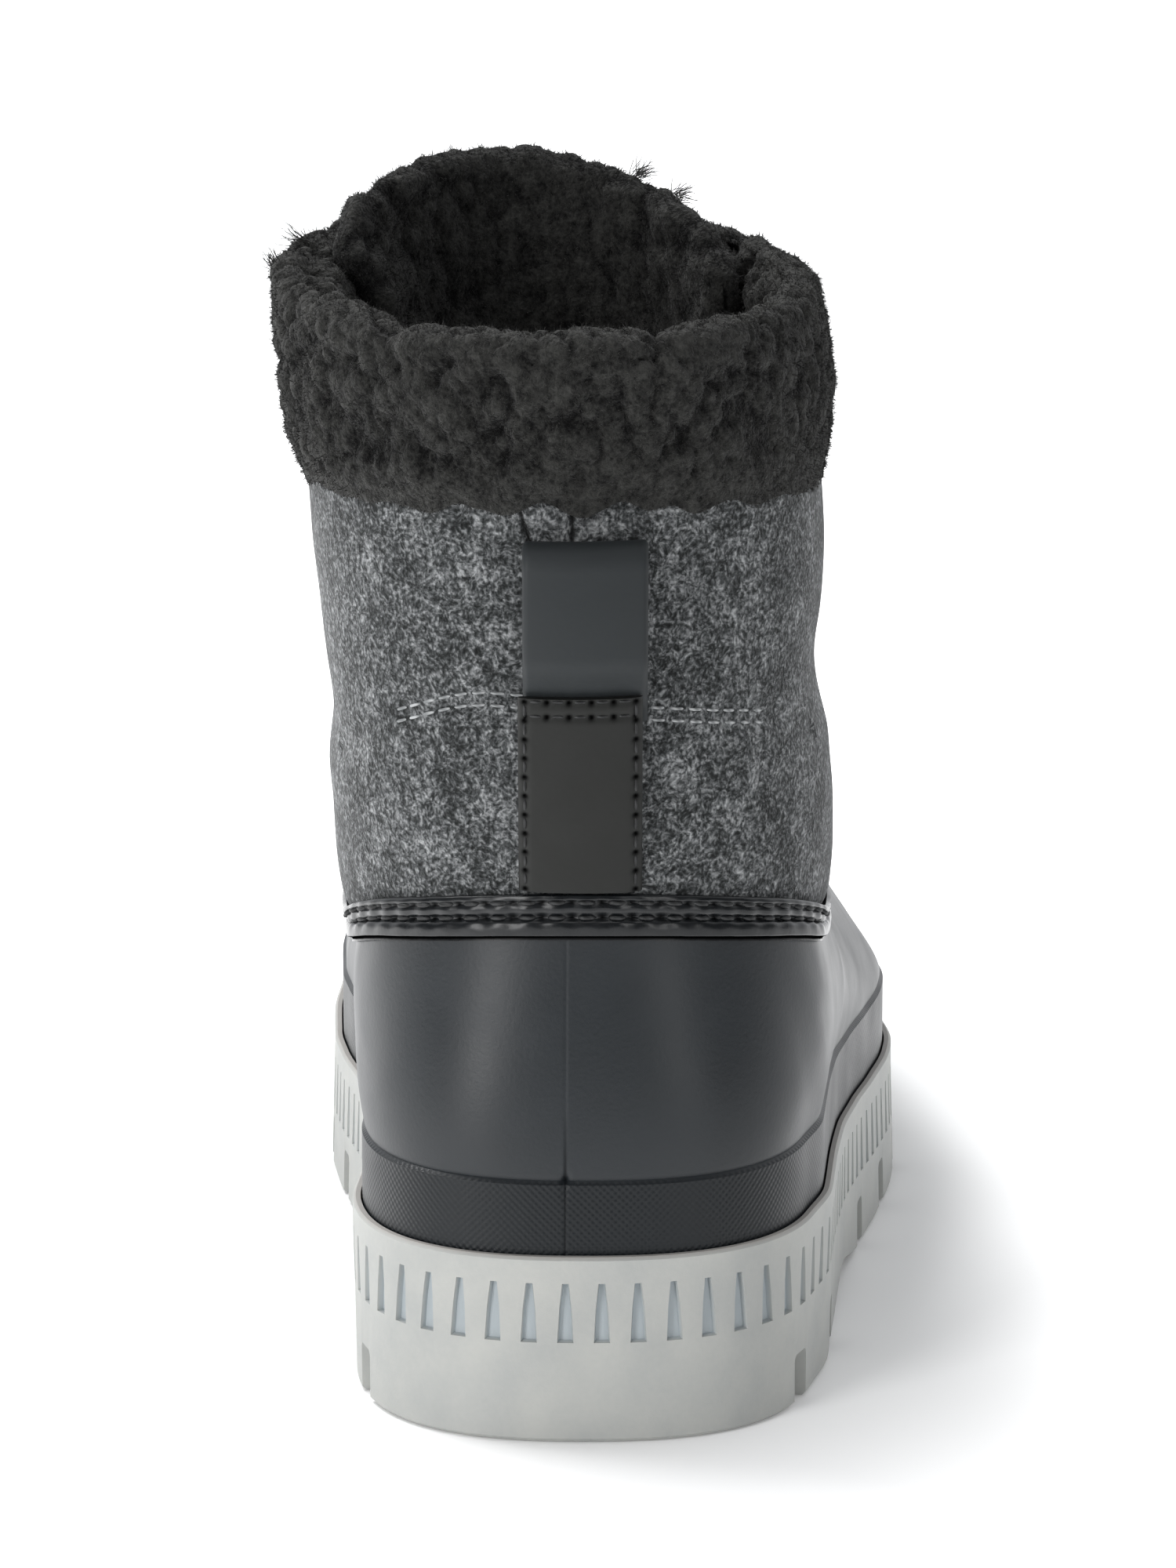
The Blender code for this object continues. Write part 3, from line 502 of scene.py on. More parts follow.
# %% Moulded grey rubber
# Injection-moulded rubber is matt and slightly cloudy, with faint flow marks and a fine spark-eroded grain.
grey_rubber, tree, shader, where = new_material("moulded_grey_rubber", Roughness=0.58, IOR=1.52)
CLOUD_MM, SPECK_MM, GRAIN_MM = 9.0, 1.1, 0.5
cloud = node(tree, "ShaderNodeTexNoise", {"Vector": where, "Scale": 1 / (CLOUD_MM * MM), "Detail": 1.0})
speck = node(tree, "ShaderNodeTexNoise", {"Vector": where, "Scale": 1 / (SPECK_MM * MM), "Detail": 2.0})
mottle = node(
    tree,
    "ShaderNodeMath",
    {0: speck.outputs["Fac"], 1: 0.4, 2: cloud.outputs["Fac"]},
    operation="MULTIPLY_ADD",
)
tone = node(
    tree,
    "ShaderNodeMapRange",
    {"Value": mottle.outputs["Value"], "From Min": 0.4, "From Max": 1.0, "To Min": 0.0, "To Max": 1.0},
)
cloudy = node(
    tree,
    "ShaderNodeMix",
    {"Factor": tone.outputs["Result"], "A": linear("#A8AAA8"), "B": linear("#B4B5B1")},
    data_type="RGBA",
)
# The slot beds are painted a cooler grey as painted shade. The lip's top is a darker warm grey.
for mark, colour in (("slot_shade", "#A9B1B5"), ("lip", "#A4A19D")):
    marked = node(tree, "ShaderNodeAttribute", attribute_name=mark)
    cloudy = node(
        tree,
        "ShaderNodeMix",
        {"Factor": marked.outputs["Fac"], "A": cloudy.outputs["Result"], "B": linear(colour)},
        data_type="RGBA",
    )
tree.links.new(cloudy.outputs["Result"], shader.inputs["Base Color"])
grain = node(tree, "ShaderNodeTexNoise", {"Vector": where, "Scale": 1 / (GRAIN_MM * MM), "Detail": 2.0})
grain_bump = node(
    tree, "ShaderNodeBump", {"Height": grain.outputs["Fac"], "Strength": 0.12, "Distance": 0.0002}
)
tree.links.new(grain_bump.outputs["Normal"], shader.inputs["Normal"])

# %% Sole with slots
SLOT_PITCH, SLOT_START, SLOT_DEPTH, SLOT_DRAFT = 5.8, 1.3, 1.0, 0.25
SLOT = table(  # width of a slot, by the distance below the rim
    "drop width",
    (4.3, 1.1),
    (8.4, 2.0),
    (13.9, 2.6),
)
LAND_COLUMNS = 3  # between one slot and the next
TREAD_EDGE = 0.6


def walked_along(path):
    """Distances from the start of a line of points, or of several side by side, to their points."""
    steps = np.linalg.norm(np.diff(path, axis=0), axis=-1)
    return np.concatenate([np.zeros_like(steps[:1]), np.cumsum(steps, axis=0)])


outline_angle = np.linspace(0.01, 2 * math.pi + 0.01, 4001)
outline_length = walked_along(sole_outline(outline_angle))
slot_count = round(outline_length[-1] / SLOT_PITCH)
slot_spacing = outline_length[-1] / slot_count
slot_centre = SLOT_START + np.arange(slot_count) * slot_spacing


def side_row(drop, level="rim", inset=0.0, lean=0.0, narrower=0.0):
    """A row of points round the sole's side, below a level: the two edges of each slot, then its land."""
    width_at = SLOT["drop"][-1] if level == "tread" else drop
    half = np.interp(width_at, SLOT["drop"], SLOT["width"]) / 2 - narrower
    land = np.linspace(half, slot_spacing - half, LAND_COLUMNS + 2)[1:-1]
    distance = slot_centre[:, None] + np.concatenate([[-half, half], land])
    angle = np.interp(np.mod(distance, outline_length[-1]), outline_length, outline_angle)
    along = LENGTH * share_along(angle)
    outline = sole_outline(angle, inset + lean * smooth(SOLE, "lean", along))
    return points(outline[..., 0], outline[..., 1], smooth(SOLE, level, along) - drop)


side_rows = [
    side_row(0.0, "tread", inset=TREAD_EDGE, lean=1.0),
    side_row(-TREAD_EDGE, "tread", lean=1.0),
    side_row(SLOT["drop"][2], lean=0.5),
    side_row(SLOT["drop"][1], lean=0.2),
    side_row(SLOT["drop"][0]),
    side_row(RIM_CHAMFER),
    side_row(0.0, inset=RIM_CHAMFER),
    side_row(0.0, inset=RIM_WALL),
    side_row(0.0, "floor", inset=RIM_WALL),
]
FOOT, HEAD = 2, 4  # the first and last row that hold corners of the slots
recess = {"inset": SLOT_DEPTH, "narrower": SLOT_DRAFT}
bed_rows = [
    side_row(SLOT["drop"][2] - SLOT_DRAFT, lean=0.5, **recess)[:, :2],
    side_row(SLOT["drop"][1], lean=0.2, **recess)[:, :2],
    side_row(SLOT["drop"][0] + SLOT_DRAFT, **recess)[:, :2],
]
columns = side_rows[0][..., 0].size
side = np.arange(len(side_rows) * columns).reshape(len(side_rows), columns)
bed = side.size + np.arange(len(bed_rows) * 2 * slot_count).reshape(len(bed_rows), slot_count, 2)
wall = quads_between(side[:-1], side[1:])
on_land = np.ones(wall.shape[:2], bool)
on_land[FOOT:HEAD, :: LAND_COLUMNS + 2] = False
sole_faces = wall[on_land].tolist()
rim = side[FOOT : HEAD + 1].reshape(len(bed_rows), slot_count, -1)[..., :2]
for low, high in ((0, 1), (1, 2)):
    sole_faces += np.concatenate([bed[low], bed[high][:, ::-1]], axis=1).tolist()
    for side_of_slot, first, last in ((1, low, high), (0, high, low)):
        corners = rim[first], rim[last], bed[last], bed[first]
        sole_faces += np.stack([row[:, side_of_slot] for row in corners], axis=1).tolist()
sole_faces += np.concatenate([rim[0], bed[0][:, ::-1]], axis=1).tolist()
sole_faces += np.concatenate([rim[2][:, ::-1], bed[2]], axis=1).tolist()
sole_faces += [side[0, ::-1].tolist(), side[-1].tolist()]
sole_points = np.concatenate([row.reshape(-1, 3) for row in side_rows + bed_rows])
point_number = np.arange(len(sole_points))
# The slot beds are marked for their painted shade, and the lip for its darker grey.
sole_marks = {
    "slot_shade": point_number >= side.size,
    "lip": (point_number >= side[6, 0]) & (point_number < side[8, 0]),
}
outsole = mesh_piece("outsole_moulded", sole_points, sole_faces, sole_marks, sharp=30)
print("slots:", slot_count, "spaced", round(slot_spacing, 2), "mm")

# %% Grooves between the lugs
GROOVE_DEPTH, GROOVE_WIDTH, GROOVE_ROUND, GROOVE_CHEVRON, GROOVE_SKEW = 8.4, 5.4, 1.2, 7.0, 2.4
GROOVE_STATIONS = (17.0, 46.0, 102.0, 126.0, 150.0, 174.0, 198.0, 222.0)
GROOVE_BELOW = 3.0
GROOVE_BENDS = (
    (-LENGTH / 4, GROOVE_SKEW),
    (SOLE["middle"][-1], GROOVE_CHEVRON),
    (LENGTH / 4, -GROOVE_SKEW),
)
corner = np.linspace(0, math.pi / 2, 5)
roof_y = GROOVE_WIDTH / 2 - GROOVE_ROUND * (1 - np.cos(corner))
roof_z = GROOVE_DEPTH - GROOVE_ROUND * (1 - np.sin(corner))
half_section = [(GROOVE_WIDTH / 2, -GROOVE_BELOW), *zip(roof_y, roof_z)]
groove_section = half_section + [(-y, z) for y, z in reversed(half_section)]
for i, station in enumerate(GROOVE_STATIONS):
    bends = []
    for x, ahead in GROOVE_BENDS:
        floor_height = float(smooth(SOLE, "tread", station + ahead))
        bends.append([(x, station + ahead + y, floor_height + z) for y, z in groove_section])
    cutter = loft(f"groove_cutter_{i}", np.array(bends))
    cut = outsole.modifiers.new(cutter.name, "BOOLEAN")
    cut.operation = "DIFFERENCE"
    cut.object = cutter
edge_round = outsole.modifiers.new("mould_radius", "BEVEL")
edge_round.width = 0.25 * MM
edge_round.segments = 2
edge_round.limit_method = "ANGLE"
edge_round.angle_limit = math.radians(35)


def settle(piece):
    """Applies a piece's modifiers and deletes their cutters."""
    graph = bpy.context.evaluated_depsgraph_get()
    shaped = bpy.data.meshes.new_from_object(piece.evaluated_get(graph))
    cutters = [m.object for m in piece.modifiers if m.type == "BOOLEAN"]
    piece.modifiers.clear()
    piece.data = shaped
    for cutter in cutters:
        bpy.data.objects.remove(cutter)


settle(outsole)
outsole.data.materials.clear()
dress(outsole, grey_rubber, "grey_rubber", "outsole")

# %% [markdown]
# ## Rubber shell
# The lower of the upper is one hollow moulding in black rubber, with a satin skin. A thin parting line of
# the mould runs up its back, and a raised strip above the sole, the foxing, is knurled in small diamonds.
# The line and the strip's step are in the mesh, and the knurl, with points about a millimetre apart, is
# bump. The low part of the line is painted shade, and the knurled strip is painted darker and duller.

# %% Satin black rubber
# Rubber from a polished mould has a satin skin: dark, with broad soft highlights that break up a bit.
black_rubber, tree, shader, where = new_material("moulded_black_rubber", Roughness=0.39, IOR=1.52)
BLOOM_MM, SKIN_MM, KNURL_MM = 14.0, 0.7, 1.2
bloom = node(tree, "ShaderNodeTexNoise", {"Vector": where, "Scale": 1 / (BLOOM_MM * MM), "Detail": 5.0})
rubber_tone = node(
    tree,
    "ShaderNodeMix",
    {"Factor": bloom.outputs["Fac"], "A": linear("#12171B"), "B": linear("#1B2126")},
    data_type="RGBA",
)
# Painted shade: the low part of the parting line is painted near black with little gloss, and the knurled
# strip is painted darker and duller.
shade_and_darkening_mark = node(tree, "ShaderNodeAttribute", attribute_name="shade_and_darkening")
shaded_and_darkened = node(
    tree,
    "ShaderNodeMix",
    {"Factor": shade_and_darkening_mark.outputs["Fac"], "A": rubber_tone.outputs["Result"], "B": linear("#090B0D")},
    data_type="RGBA",
)
tree.links.new(shaded_and_darkened.outputs["Result"], shader.inputs["Base Color"])
shine = node(
    tree, "ShaderNodeMapRange", {"Value": shade_and_darkening_mark.outputs["Fac"], "To Min": 0.46, "To Max": 0.05}
)
tree.links.new(shine.outputs["Result"], shader.inputs["Specular IOR Level"])
satin = node(
    tree,
    "ShaderNodeMapRange",
    {"Value": bloom.outputs["Fac"], "From Min": 0.3, "From Max": 0.7, "To Min": 0.35, "To Max": 0.44},
)
tree.links.new(satin.outputs["Result"], shader.inputs["Roughness"])
skin = node(tree, "ShaderNodeTexNoise", {"Vector": where, "Scale": 1 / (SKIN_MM * MM), "Detail": 3.0})
skin_bump = node(
    tree, "ShaderNodeBump", {"Height": skin.outputs["Fac"], "Strength": 0.16, "Distance": 0.0002}
)
round_mark = node(tree, "ShaderNodeAttribute", attribute_name="round_mm")
up_mark = node(tree, "ShaderNodeAttribute", attribute_name="up_mm")
foxing_mark = node(tree, "ShaderNodeAttribute", attribute_name="foxing")
knurl = []
for hand in (1, -1):
    slant = node(
        tree,
        "ShaderNodeMath",
        {0: up_mark.outputs["Fac"], 1: hand, 2: round_mark.outputs["Fac"]},
        operation="MULTIPLY_ADD",
    )
    turns = node(
        tree, "ShaderNodeMath", {0: slant.outputs["Value"], 1: 2 * math.pi / KNURL_MM}, operation="MULTIPLY"
    )
    knurl.append(node(tree, "ShaderNodeMath", {0: turns.outputs["Value"]}, operation="SINE"))
diamonds = node(
    tree, "ShaderNodeMath", {0: knurl[0].outputs["Value"], 1: knurl[1].outputs["Value"]}, operation="ADD"
)
on_strip = node(
    tree,
    "ShaderNodeMath",
    {0: diamonds.outputs["Value"], 1: foxing_mark.outputs["Fac"]},
    operation="MULTIPLY",
)
knurl_bump = node(
    tree,
    "ShaderNodeBump",
    {
        "Height": on_strip.outputs["Value"],
        "Strength": 0.2,
        "Distance": 0.00012,
        "Normal": skin_bump.outputs["Normal"],
    },
)
tree.links.new(knurl_bump.outputs["Normal"], shader.inputs["Normal"])

# %% Flex marks of the shell
SHELL_FOLDS = table(  # at the ankle and vamp: positive depths are troughs, negative ones ridges
    "side y z reach half tilt depth",
    (1, 156, 64, 14, 2.6, -62, 0.55),
    (1, 163, 60, 13, 2.4, -62, -0.3),
    (1, 96, 60, 20, 5.0, 58, 0.5),
    (1, 38, 76, 2.0, 1.6, 0, 0.35),
    (-1, 150, 62, 14, 2.8, -60, 0.5),
    (-1, 158, 58, 12, 2.4, -60, -0.3),
    (-1, 92, 60, 20, 5.0, 58, 0.5),
)


def near(distance, half):
    """Share from 0 to 1 of being at a line, by the distance from it."""
    return np.exp(-((distance / half) ** 2))


def rows_of(columns):
    """The rows of a table as one array."""
    return np.stack(list(columns.values()), axis=-1)


def folds(spots, rows):
    """Depth of soft troughs and ridges, listed for the two sides of the boot, at points."""
    depth = np.zeros(spots.shape[:-1])
    for side, y, z, reach, half, tilt, deep in rows_of(rows):
        off_y, off_z = spots[..., 1] - y, spots[..., 2] - z
        cos, sin = math.cos(math.radians(tilt)), math.sin(math.radians(tilt))
        along, across = off_y * cos + off_z * sin, off_z * cos - off_y * sin
        depth += deep * near(along, reach) * near(across, half) * (spots[..., 0] * side > 0)
    return depth


# %% Rows of the shell
fine = np.arange(-0.1, 0.1, 0.002)
coarse = np.arange(0.1, math.pi, math.radians(0.8))
shell_ring = np.concatenate([-coarse[::-1], fine, coarse]) + 1e-4
along = LENGTH * share_along(shell_ring)
edge = sole_outline(shell_ring, RIM_WALL + GAP)
foot = points(edge[:, 0], edge[:, 1], smooth(SOLE, "floor", along) + GAP)
rim_height = smooth(SOLE, "rim", along)
strip_rows = [points(edge[:, 0], edge[:, 1], rim_height + z) for z in np.linspace(-2.0, FOXING_HEIGHT, 8)]
rise_shares = np.concatenate([np.linspace(0, 0.06, 8), np.linspace(0.06, 1, 40)[1:]])
shell_outer = np.concatenate([[foot], strip_rows, shell_surface(shell_ring, rise_shares)])
normals = ring_normals(shell_outer)
level = unit(normals[1] * [1, 1, 0])
normals[: len(strip_rows) + 2] = level
above_strip = shell_outer[..., 2] - rim_height - FOXING_HEIGHT - FOXING_BEVEL
first_row = len(strip_rows) + 1
print("rows of the shell:", len(shell_outer), "with", len(shell_ring), "points each")

# %% Parting line, crease and painted shade
PARTING_FOOT, PARTING_HEAD = -3.7, -3.4  # x of the line at the foot and at the head of the shell
PARTING_FROM, PARTING_RISE = 30.0, 54.0  # height of its foot, and how far up its head is
PARTING_HALF, PARTING_DEPTH = 0.28, 0.1
HEEL_REACH = 30.0  # the line and its painted shade are on the heel alone
CREASE_DEPTH, CREASE_HALF = 0.12, 0.3  # where the strip's top meets the shell
DIMPLE_DEPTH, DIMPLE_UP, DIMPLE_ACROSS = 0.5, 1.2, 0.7  # where the line meets the strip's top
SHADE_IN_LINE, SHADE_REACH, DARKENING_ON_STRIP = 0.85, 12.0, 0.42  # painted shade in the parting line, and the darker knurled strip
shell_relief = np.zeros(shell_outer.shape[:2])
shell_relief[first_row:] -= CREASE_DEPTH * near(above_strip[first_row:], CREASE_HALF)
shell_relief[first_row:] -= folds(shell_outer[first_row:], SHELL_FOLDS)
height_share = np.clip((shell_outer[..., 2] - PARTING_FROM) / PARTING_RISE, 0, 1)
off_line = shell_outer[..., 0] - (PARTING_FOOT + height_share * (PARTING_HEAD - PARTING_FOOT))
at_heel = shell_outer[..., 1] < HEEL_REACH
parting = PARTING_DEPTH * near(off_line, PARTING_HALF) * (1.1 - 0.6 * height_share)
dimple = DIMPLE_DEPTH * near(above_strip, DIMPLE_UP) * near(off_line, DIMPLE_ACROSS)
shell_relief -= np.where(at_heel, parting + dimple, 0.0)
shell_outer = shell_outer + shell_relief[..., None] * normals
# The line's low part gets painted shade, and the knurled strip a darker tone.
in_line = near(off_line, PARTING_HALF) * np.clip(1 - above_strip / SHADE_REACH, 0, 1)
shade_and_darkening = np.where(at_heel, SHADE_IN_LINE * in_line, 0.0)
shade_and_darkening[1:first_row] = np.maximum(shade_and_darkening[1:first_row], DARKENING_ON_STRIP)
print("deepest relief of the shell:", round(float(-shell_relief.min()), 2), "mm")

# %% Hollow shell
SHELL_INNER_ROWS = 12
inner_pick = np.linspace(len(shell_outer) - 1, 0, SHELL_INNER_ROWS).round().astype(int)
shell_inner = (shell_outer - SHELL_WALL * normals)[inner_pick]
shell_sections = np.concatenate([shell_outer, shell_inner]).transpose(1, 0, 2)
round_mm = walked_along(edge)
row_numbers = np.arange(shell_sections.shape[1])
on_foxing = np.tile((row_numbers >= 1) & (row_numbers <= len(strip_rows)), (len(shell_ring), 1))
on_foxing[[0, -1]] = False  # the knurl stops at the mould's parting line on the toe
shell_marks = {
    "round_mm": np.broadcast_to(round_mm[:, None], shell_sections.shape[:2]),
    "up_mm": shell_sections[..., 2],
    "foxing": on_foxing,
    "shade_and_darkening": np.concatenate([shade_and_darkening, 0 * shell_inner[..., 0]]).T,
}
shell = loft("rubber_shell_moulded", shell_sections, ring=True, marks=shell_marks, sharp=35)
dress(shell, black_rubber, "black_rubber", "rubber_shell")

# %% [markdown]
# ## Stitches
# A lockstitch shows as a row of short bars that dive into the cloth at both ends. Modelling each as a small
# bent bar keeps the rows true from close by. One function walks along a line of points and sets a bar at
# every pitch, and all the bars of a seam become one mesh.


# %% Rows of stitches
def full_turn(count):
    """Angles that share out a full turn."""
    return np.linspace(0, 2 * math.pi, count, endpoint=False)


def stitches(name, rows, pitch, length, radius):
    """Stitches along rows: their points, outward normals and, where holes are drawn too, stitch numbers."""
    bars = []
    t = np.linspace(-1, 1, 7)[:, None, None]
    turn = full_turn(6)[None, :, None]
    girth = radius * np.sqrt(1 - 0.8 * t**2)
    lift = radius * (0.6 - 1.4 * t**4)
    for path, outward, *numbers in rows:
        walked = walked_along(path)
        count = max(1, round(walked[-1] / pitch))
        counted = numbers[0] if numbers else count * walked / walked[-1]
        first, last = math.ceil(counted[0] - 0.01), math.floor(counted[-1] + 0.01)
        at = np.interp(np.arange(first, last) + 0.5, counted, walked)
        spot, ahead, out = (
            np.stack([np.interp(at + step, walked, line[:, k]) for k in range(3)], axis=-1)
            for line, step in ((path, 0.0), (path, 0.2), (outward, 0.0))
        )
        out = unit(out)
        forward = unit(ahead - spot)
        side = np.cross(forward, out)
        spot, out, forward, side = (v[:, None, None] for v in (spot, out, forward, side))
        bars.append(
            spot
            + forward * t * length / 2
            + out * (lift + girth * np.sin(turn))
            + side * girth * np.cos(turn)
        )
    bars = np.concatenate(bars)
    number = np.arange(bars[..., 0].size).reshape(bars.shape[:3])
    quads = quads_between(number[:, :-1], number[:, 1:]).reshape(-1, 4)
    ends = np.concatenate([number[:, 0, ::-1], number[:, -1]])
    if volume(bars.reshape(-1, 3)[quads]) < 0:
        quads, ends = quads[:, ::-1], ends[:, ::-1]
    print(name, "has", len(bars), "stitches")
    return mesh_piece(name, bars.reshape(-1, 3), quads.tolist() + ends.tolist(), sharp=60)


# %% Sewing threads
# Bonded polyester thread is tightly twisted: a fine slanted rib and a dull shine.
THREAD_TWIST_MM = 0.5


def sewing_thread(name, dark, light):
    thread, tree, shader, where = new_material(name, Roughness=0.55, IOR=1.5)
    twist = node(
        tree,
        "ShaderNodeTexWave",
        {"Vector": where, "Scale": 1 / (THREAD_TWIST_MM * MM * 2 * math.pi), "Distortion": 1.0},
        bands_direction="DIAGONAL",
    )
    shade = node(
        tree,
        "ShaderNodeMix",
        {"Factor": twist.outputs["Fac"], "A": linear(dark), "B": linear(light)},
        data_type="RGBA",
    )
    tree.links.new(shade.outputs["Result"], shader.inputs["Base Color"])
    bump = node(tree, "ShaderNodeBump", {"Height": twist.outputs["Fac"], "Strength": 0.4, "Distance": 0.0001})
    tree.links.new(bump.outputs["Normal"], shader.inputs["Normal"])
    return thread


black_thread = sewing_thread("black_polyester_thread", "#101112", "#2A2B2C")
grey_thread = sewing_thread("grey_polyester_thread", "#7C7F80", "#B8BABB")

# %% [markdown]
# ## Felt shaft
# The shaft is cut from marled wool felt: white, grey and black fibres carded together and matted, so its
# colour is a fine salt and pepper with no weave. It is sewn together at the back, and a pair of rows of
# light thread holds the stiffener inside the heel. Grooves press the seams in, and the flecks are noise
# near fibre size.

# %% Marled wool felt
# Matted fibre is fully matt, and its loose ends catch light where the wall turns away, so the edges look
# pale. Flecks are drawn a little coarser than fibres, to show.
felt, tree, shader, where = new_material(
    "marled_wool_felt",
    Roughness=0.95,
    IOR=1.5,
    Specular_IOR_Level=0.2,
    Sheen_Weight=0.24,
    Sheen_Roughness=0.4,
)
FLECK_MM, FIBRE_MM, PATCH_MM, PATCH_SHARE = 1.3, 0.6, 6.5, 0.4
BEND_MM, BEND_REACH = 3.0, 1.6  # fibres wander, so flecks are bent
bend = node(tree, "ShaderNodeTexNoise", {"Vector": where, "Scale": 1 / (BEND_MM * MM), "Detail": 1.0})
bent = node(
    tree,
    "ShaderNodeVectorMath",
    {0: bend.outputs["Color"], 1: (BEND_REACH * MM,) * 3, 2: where},
    operation="MULTIPLY_ADD",
)
fleck = node(
    tree,
    "ShaderNodeTexNoise",
    {"Vector": bent.outputs["Vector"], "Scale": 1 / (FLECK_MM * MM), "Detail": 3.0, "Roughness": 0.7},
)
fibre = node(
    tree,
    "ShaderNodeTexNoise",
    {"Vector": bent.outputs["Vector"], "Scale": 1 / (FIBRE_MM * MM), "Detail": 2.0},
)
patch = node(tree, "ShaderNodeTexNoise", {"Vector": where, "Scale": 1 / (PATCH_MM * MM), "Detail": 2.0})
marl = node(tree, "ShaderNodeMath", {0: fleck.outputs["Fac"], 1: fibre.outputs["Fac"]}, operation="ADD")
patchy = node(
    tree,
    "ShaderNodeMath",
    {0: patch.outputs["Fac"], 1: PATCH_SHARE, 2: marl.outputs["Value"]},
    operation="MULTIPLY_ADD",
)
spread = node(
    tree,
    "ShaderNodeMapRange",
    {"Value": patchy.outputs["Value"], "From Min": 0.8, "From Max": 1.6, "To Min": 0.0, "To Max": 1.0},
)
wool = node(tree, "ShaderNodeValToRGB", {"Fac": spread.outputs["Result"]})
WOOL_STOPS = ((0.0, "#131414"), (1.0, "#AEB0B1"), (0.28, "#282A2A"), (0.48, "#484A4B"), (0.68, "#747677"))
ramp = wool.color_ramp.elements
for i, (place, colour) in enumerate(WOOL_STOPS):
    stop = ramp[i] if i < 2 else ramp.new(place)
    stop.position, stop.color = place, linear(colour)
seam_mark = node(tree, "ShaderNodeAttribute", attribute_name="seam")
sewn = node(
    tree,
    "ShaderNodeMix",
    {"Factor": seam_mark.outputs["Fac"], "A": wool.outputs["Color"], "B": linear("#121313")},
    data_type="RGBA",
)
tree.links.new(sewn.outputs["Result"], shader.inputs["Base Color"])
nap = node(tree, "ShaderNodeBump", {"Height": marl.outputs["Value"], "Strength": 0.55, "Distance": 0.0006})
tree.links.new(nap.outputs["Normal"], shader.inputs["Normal"])

# %% Rows of the felt wall
FELT_ROWS = 90
CUFF_CROWN = 6.5
back_fine = np.radians(np.arange(-22, 6, 0.4))
throat = math.radians(THROAT_ANGLE)
left_ring = np.arange(-throat, back_fine[0] - 0.01, 0.02)
right_ring = np.arange(back_fine[-1] + 0.02, throat, 0.02)
felt_ring = np.concatenate([left_ring, back_fine, right_ring, [throat]])
COUNTER_ROW = table(  # height of the upper row of light stitches, by ring angle in degrees
    "degrees height",
    (-66, 104.5),
    (-52, 110.5),
    (-39, 115.8),
    (-16, 120.7),
    (14, 118.6),
    (30, 116.8),
    (48, 114.2),
    (66, 107.5),
)
COUNTER_GAP = 2.0  # between the two rows
FELT_FOLDS = table(  # where the shaft gives at the ankle: positive depths are troughs, negative ones ridges
    "side y z reach half tilt depth",
    (1, 64, 117, 30, 6.0, -8, 1.0),
    (1, 52, 105, 24, 4.5, -10, -0.4),
    (1, 104, 104, 16, 3.0, -35, 0.6),
    (-1, 60, 113, 28, 5.5, 8, 0.8),
    (-1, 50, 101, 22, 4.0, 10, -0.4),
    (-1, 102, 106, 16, 3.0, -35, 0.6),
)
foot = seam_height(felt_ring) + SEAM_GAP / 2
head = collar_height(felt_ring) - CUFF_CROWN
felt_height = foot + np.linspace(0, 1, FELT_ROWS)[:, None] * (head - foot)
felt_angle = np.broadcast_to(felt_ring, felt_height.shape)
felt_outer = shaft_point(felt_angle, felt_height)
print("rows of the felt:", FELT_ROWS, "with", len(felt_ring), "points each")

# %% Felt wall with its seams
FELT_INNER_ROWS = 10
SEAM_X, SEAM_DEPTH, SEAM_HALF = -2.4, 0.55, 0.4
DART_X, DART_FROM, DART_LEAN = -9.4, 146.3, -1 / 3  # its x at a height, and the change of x with height
SEAMS_FROM, SEAMS_FADE = 139.0, 4.0  # lower down, the loop and the strap lie over the seams
BACK_REACH = 40.0  # the seams and the stiffener press the back alone
COUNTER_PRESS, COUNTER_HALF, COUNTER_REACH = 0.7, 2.2, 62
RIPPLE_MM, RIPPLE_HEIGHT = 24.0, 0.35


def swells(spots, size):
    """Smooth uneven heights at a grid of points, about from -1 to 1, that rise and sink over one size."""
    heights = [noise.noise(Vector(spot / size)) for spot in spots.reshape(-1, 3)]
    return np.reshape(heights, spots.shape[:-1])


above_loop = np.clip((felt_height - SEAMS_FROM) / SEAMS_FADE, 0, 1)
dart_line = DART_X + DART_LEAN * (felt_height - DART_FROM)
seams = sum(near(felt_outer[..., 0] - line, SEAM_HALF) * above_loop for line in (SEAM_X, dart_line))
degrees = np.degrees(felt_angle)
from_counter = felt_height - smooth(COUNTER_ROW, "height", degrees) + COUNTER_GAP / 2
counter_press = COUNTER_PRESS * near(from_counter, COUNTER_HALF) * (np.abs(degrees) < COUNTER_REACH)
at_back = felt_outer[..., 1] < BACK_REACH
seams = np.where(at_back, seams, 0.0)
felt_relief = RIPPLE_HEIGHT * swells(felt_outer, RIPPLE_MM) - folds(felt_outer, FELT_FOLDS)
felt_relief -= SEAM_DEPTH * (seams + at_back * counter_press)
felt_outer = shaft_point(felt_angle, felt_height, felt_relief)
inner_pick = np.linspace(FELT_ROWS - 1, 0, FELT_INNER_ROWS).round().astype(int)
inside = np.full((FELT_INNER_ROWS, 1), -FELT_WALL)
felt_inner = shaft_point(felt_angle[inner_pick], felt_height[inner_pick], inside)
felt_sections = np.concatenate([felt_outer, felt_inner]).transpose(1, 0, 2)
seam_marks = np.concatenate([seams, np.zeros(felt_inner.shape[:2])]).T
shaft = loft("felt_shaft_sewn", felt_sections, marks={"seam": seam_marks})
dress(shaft, felt, "grey_felt", "felt_shaft")

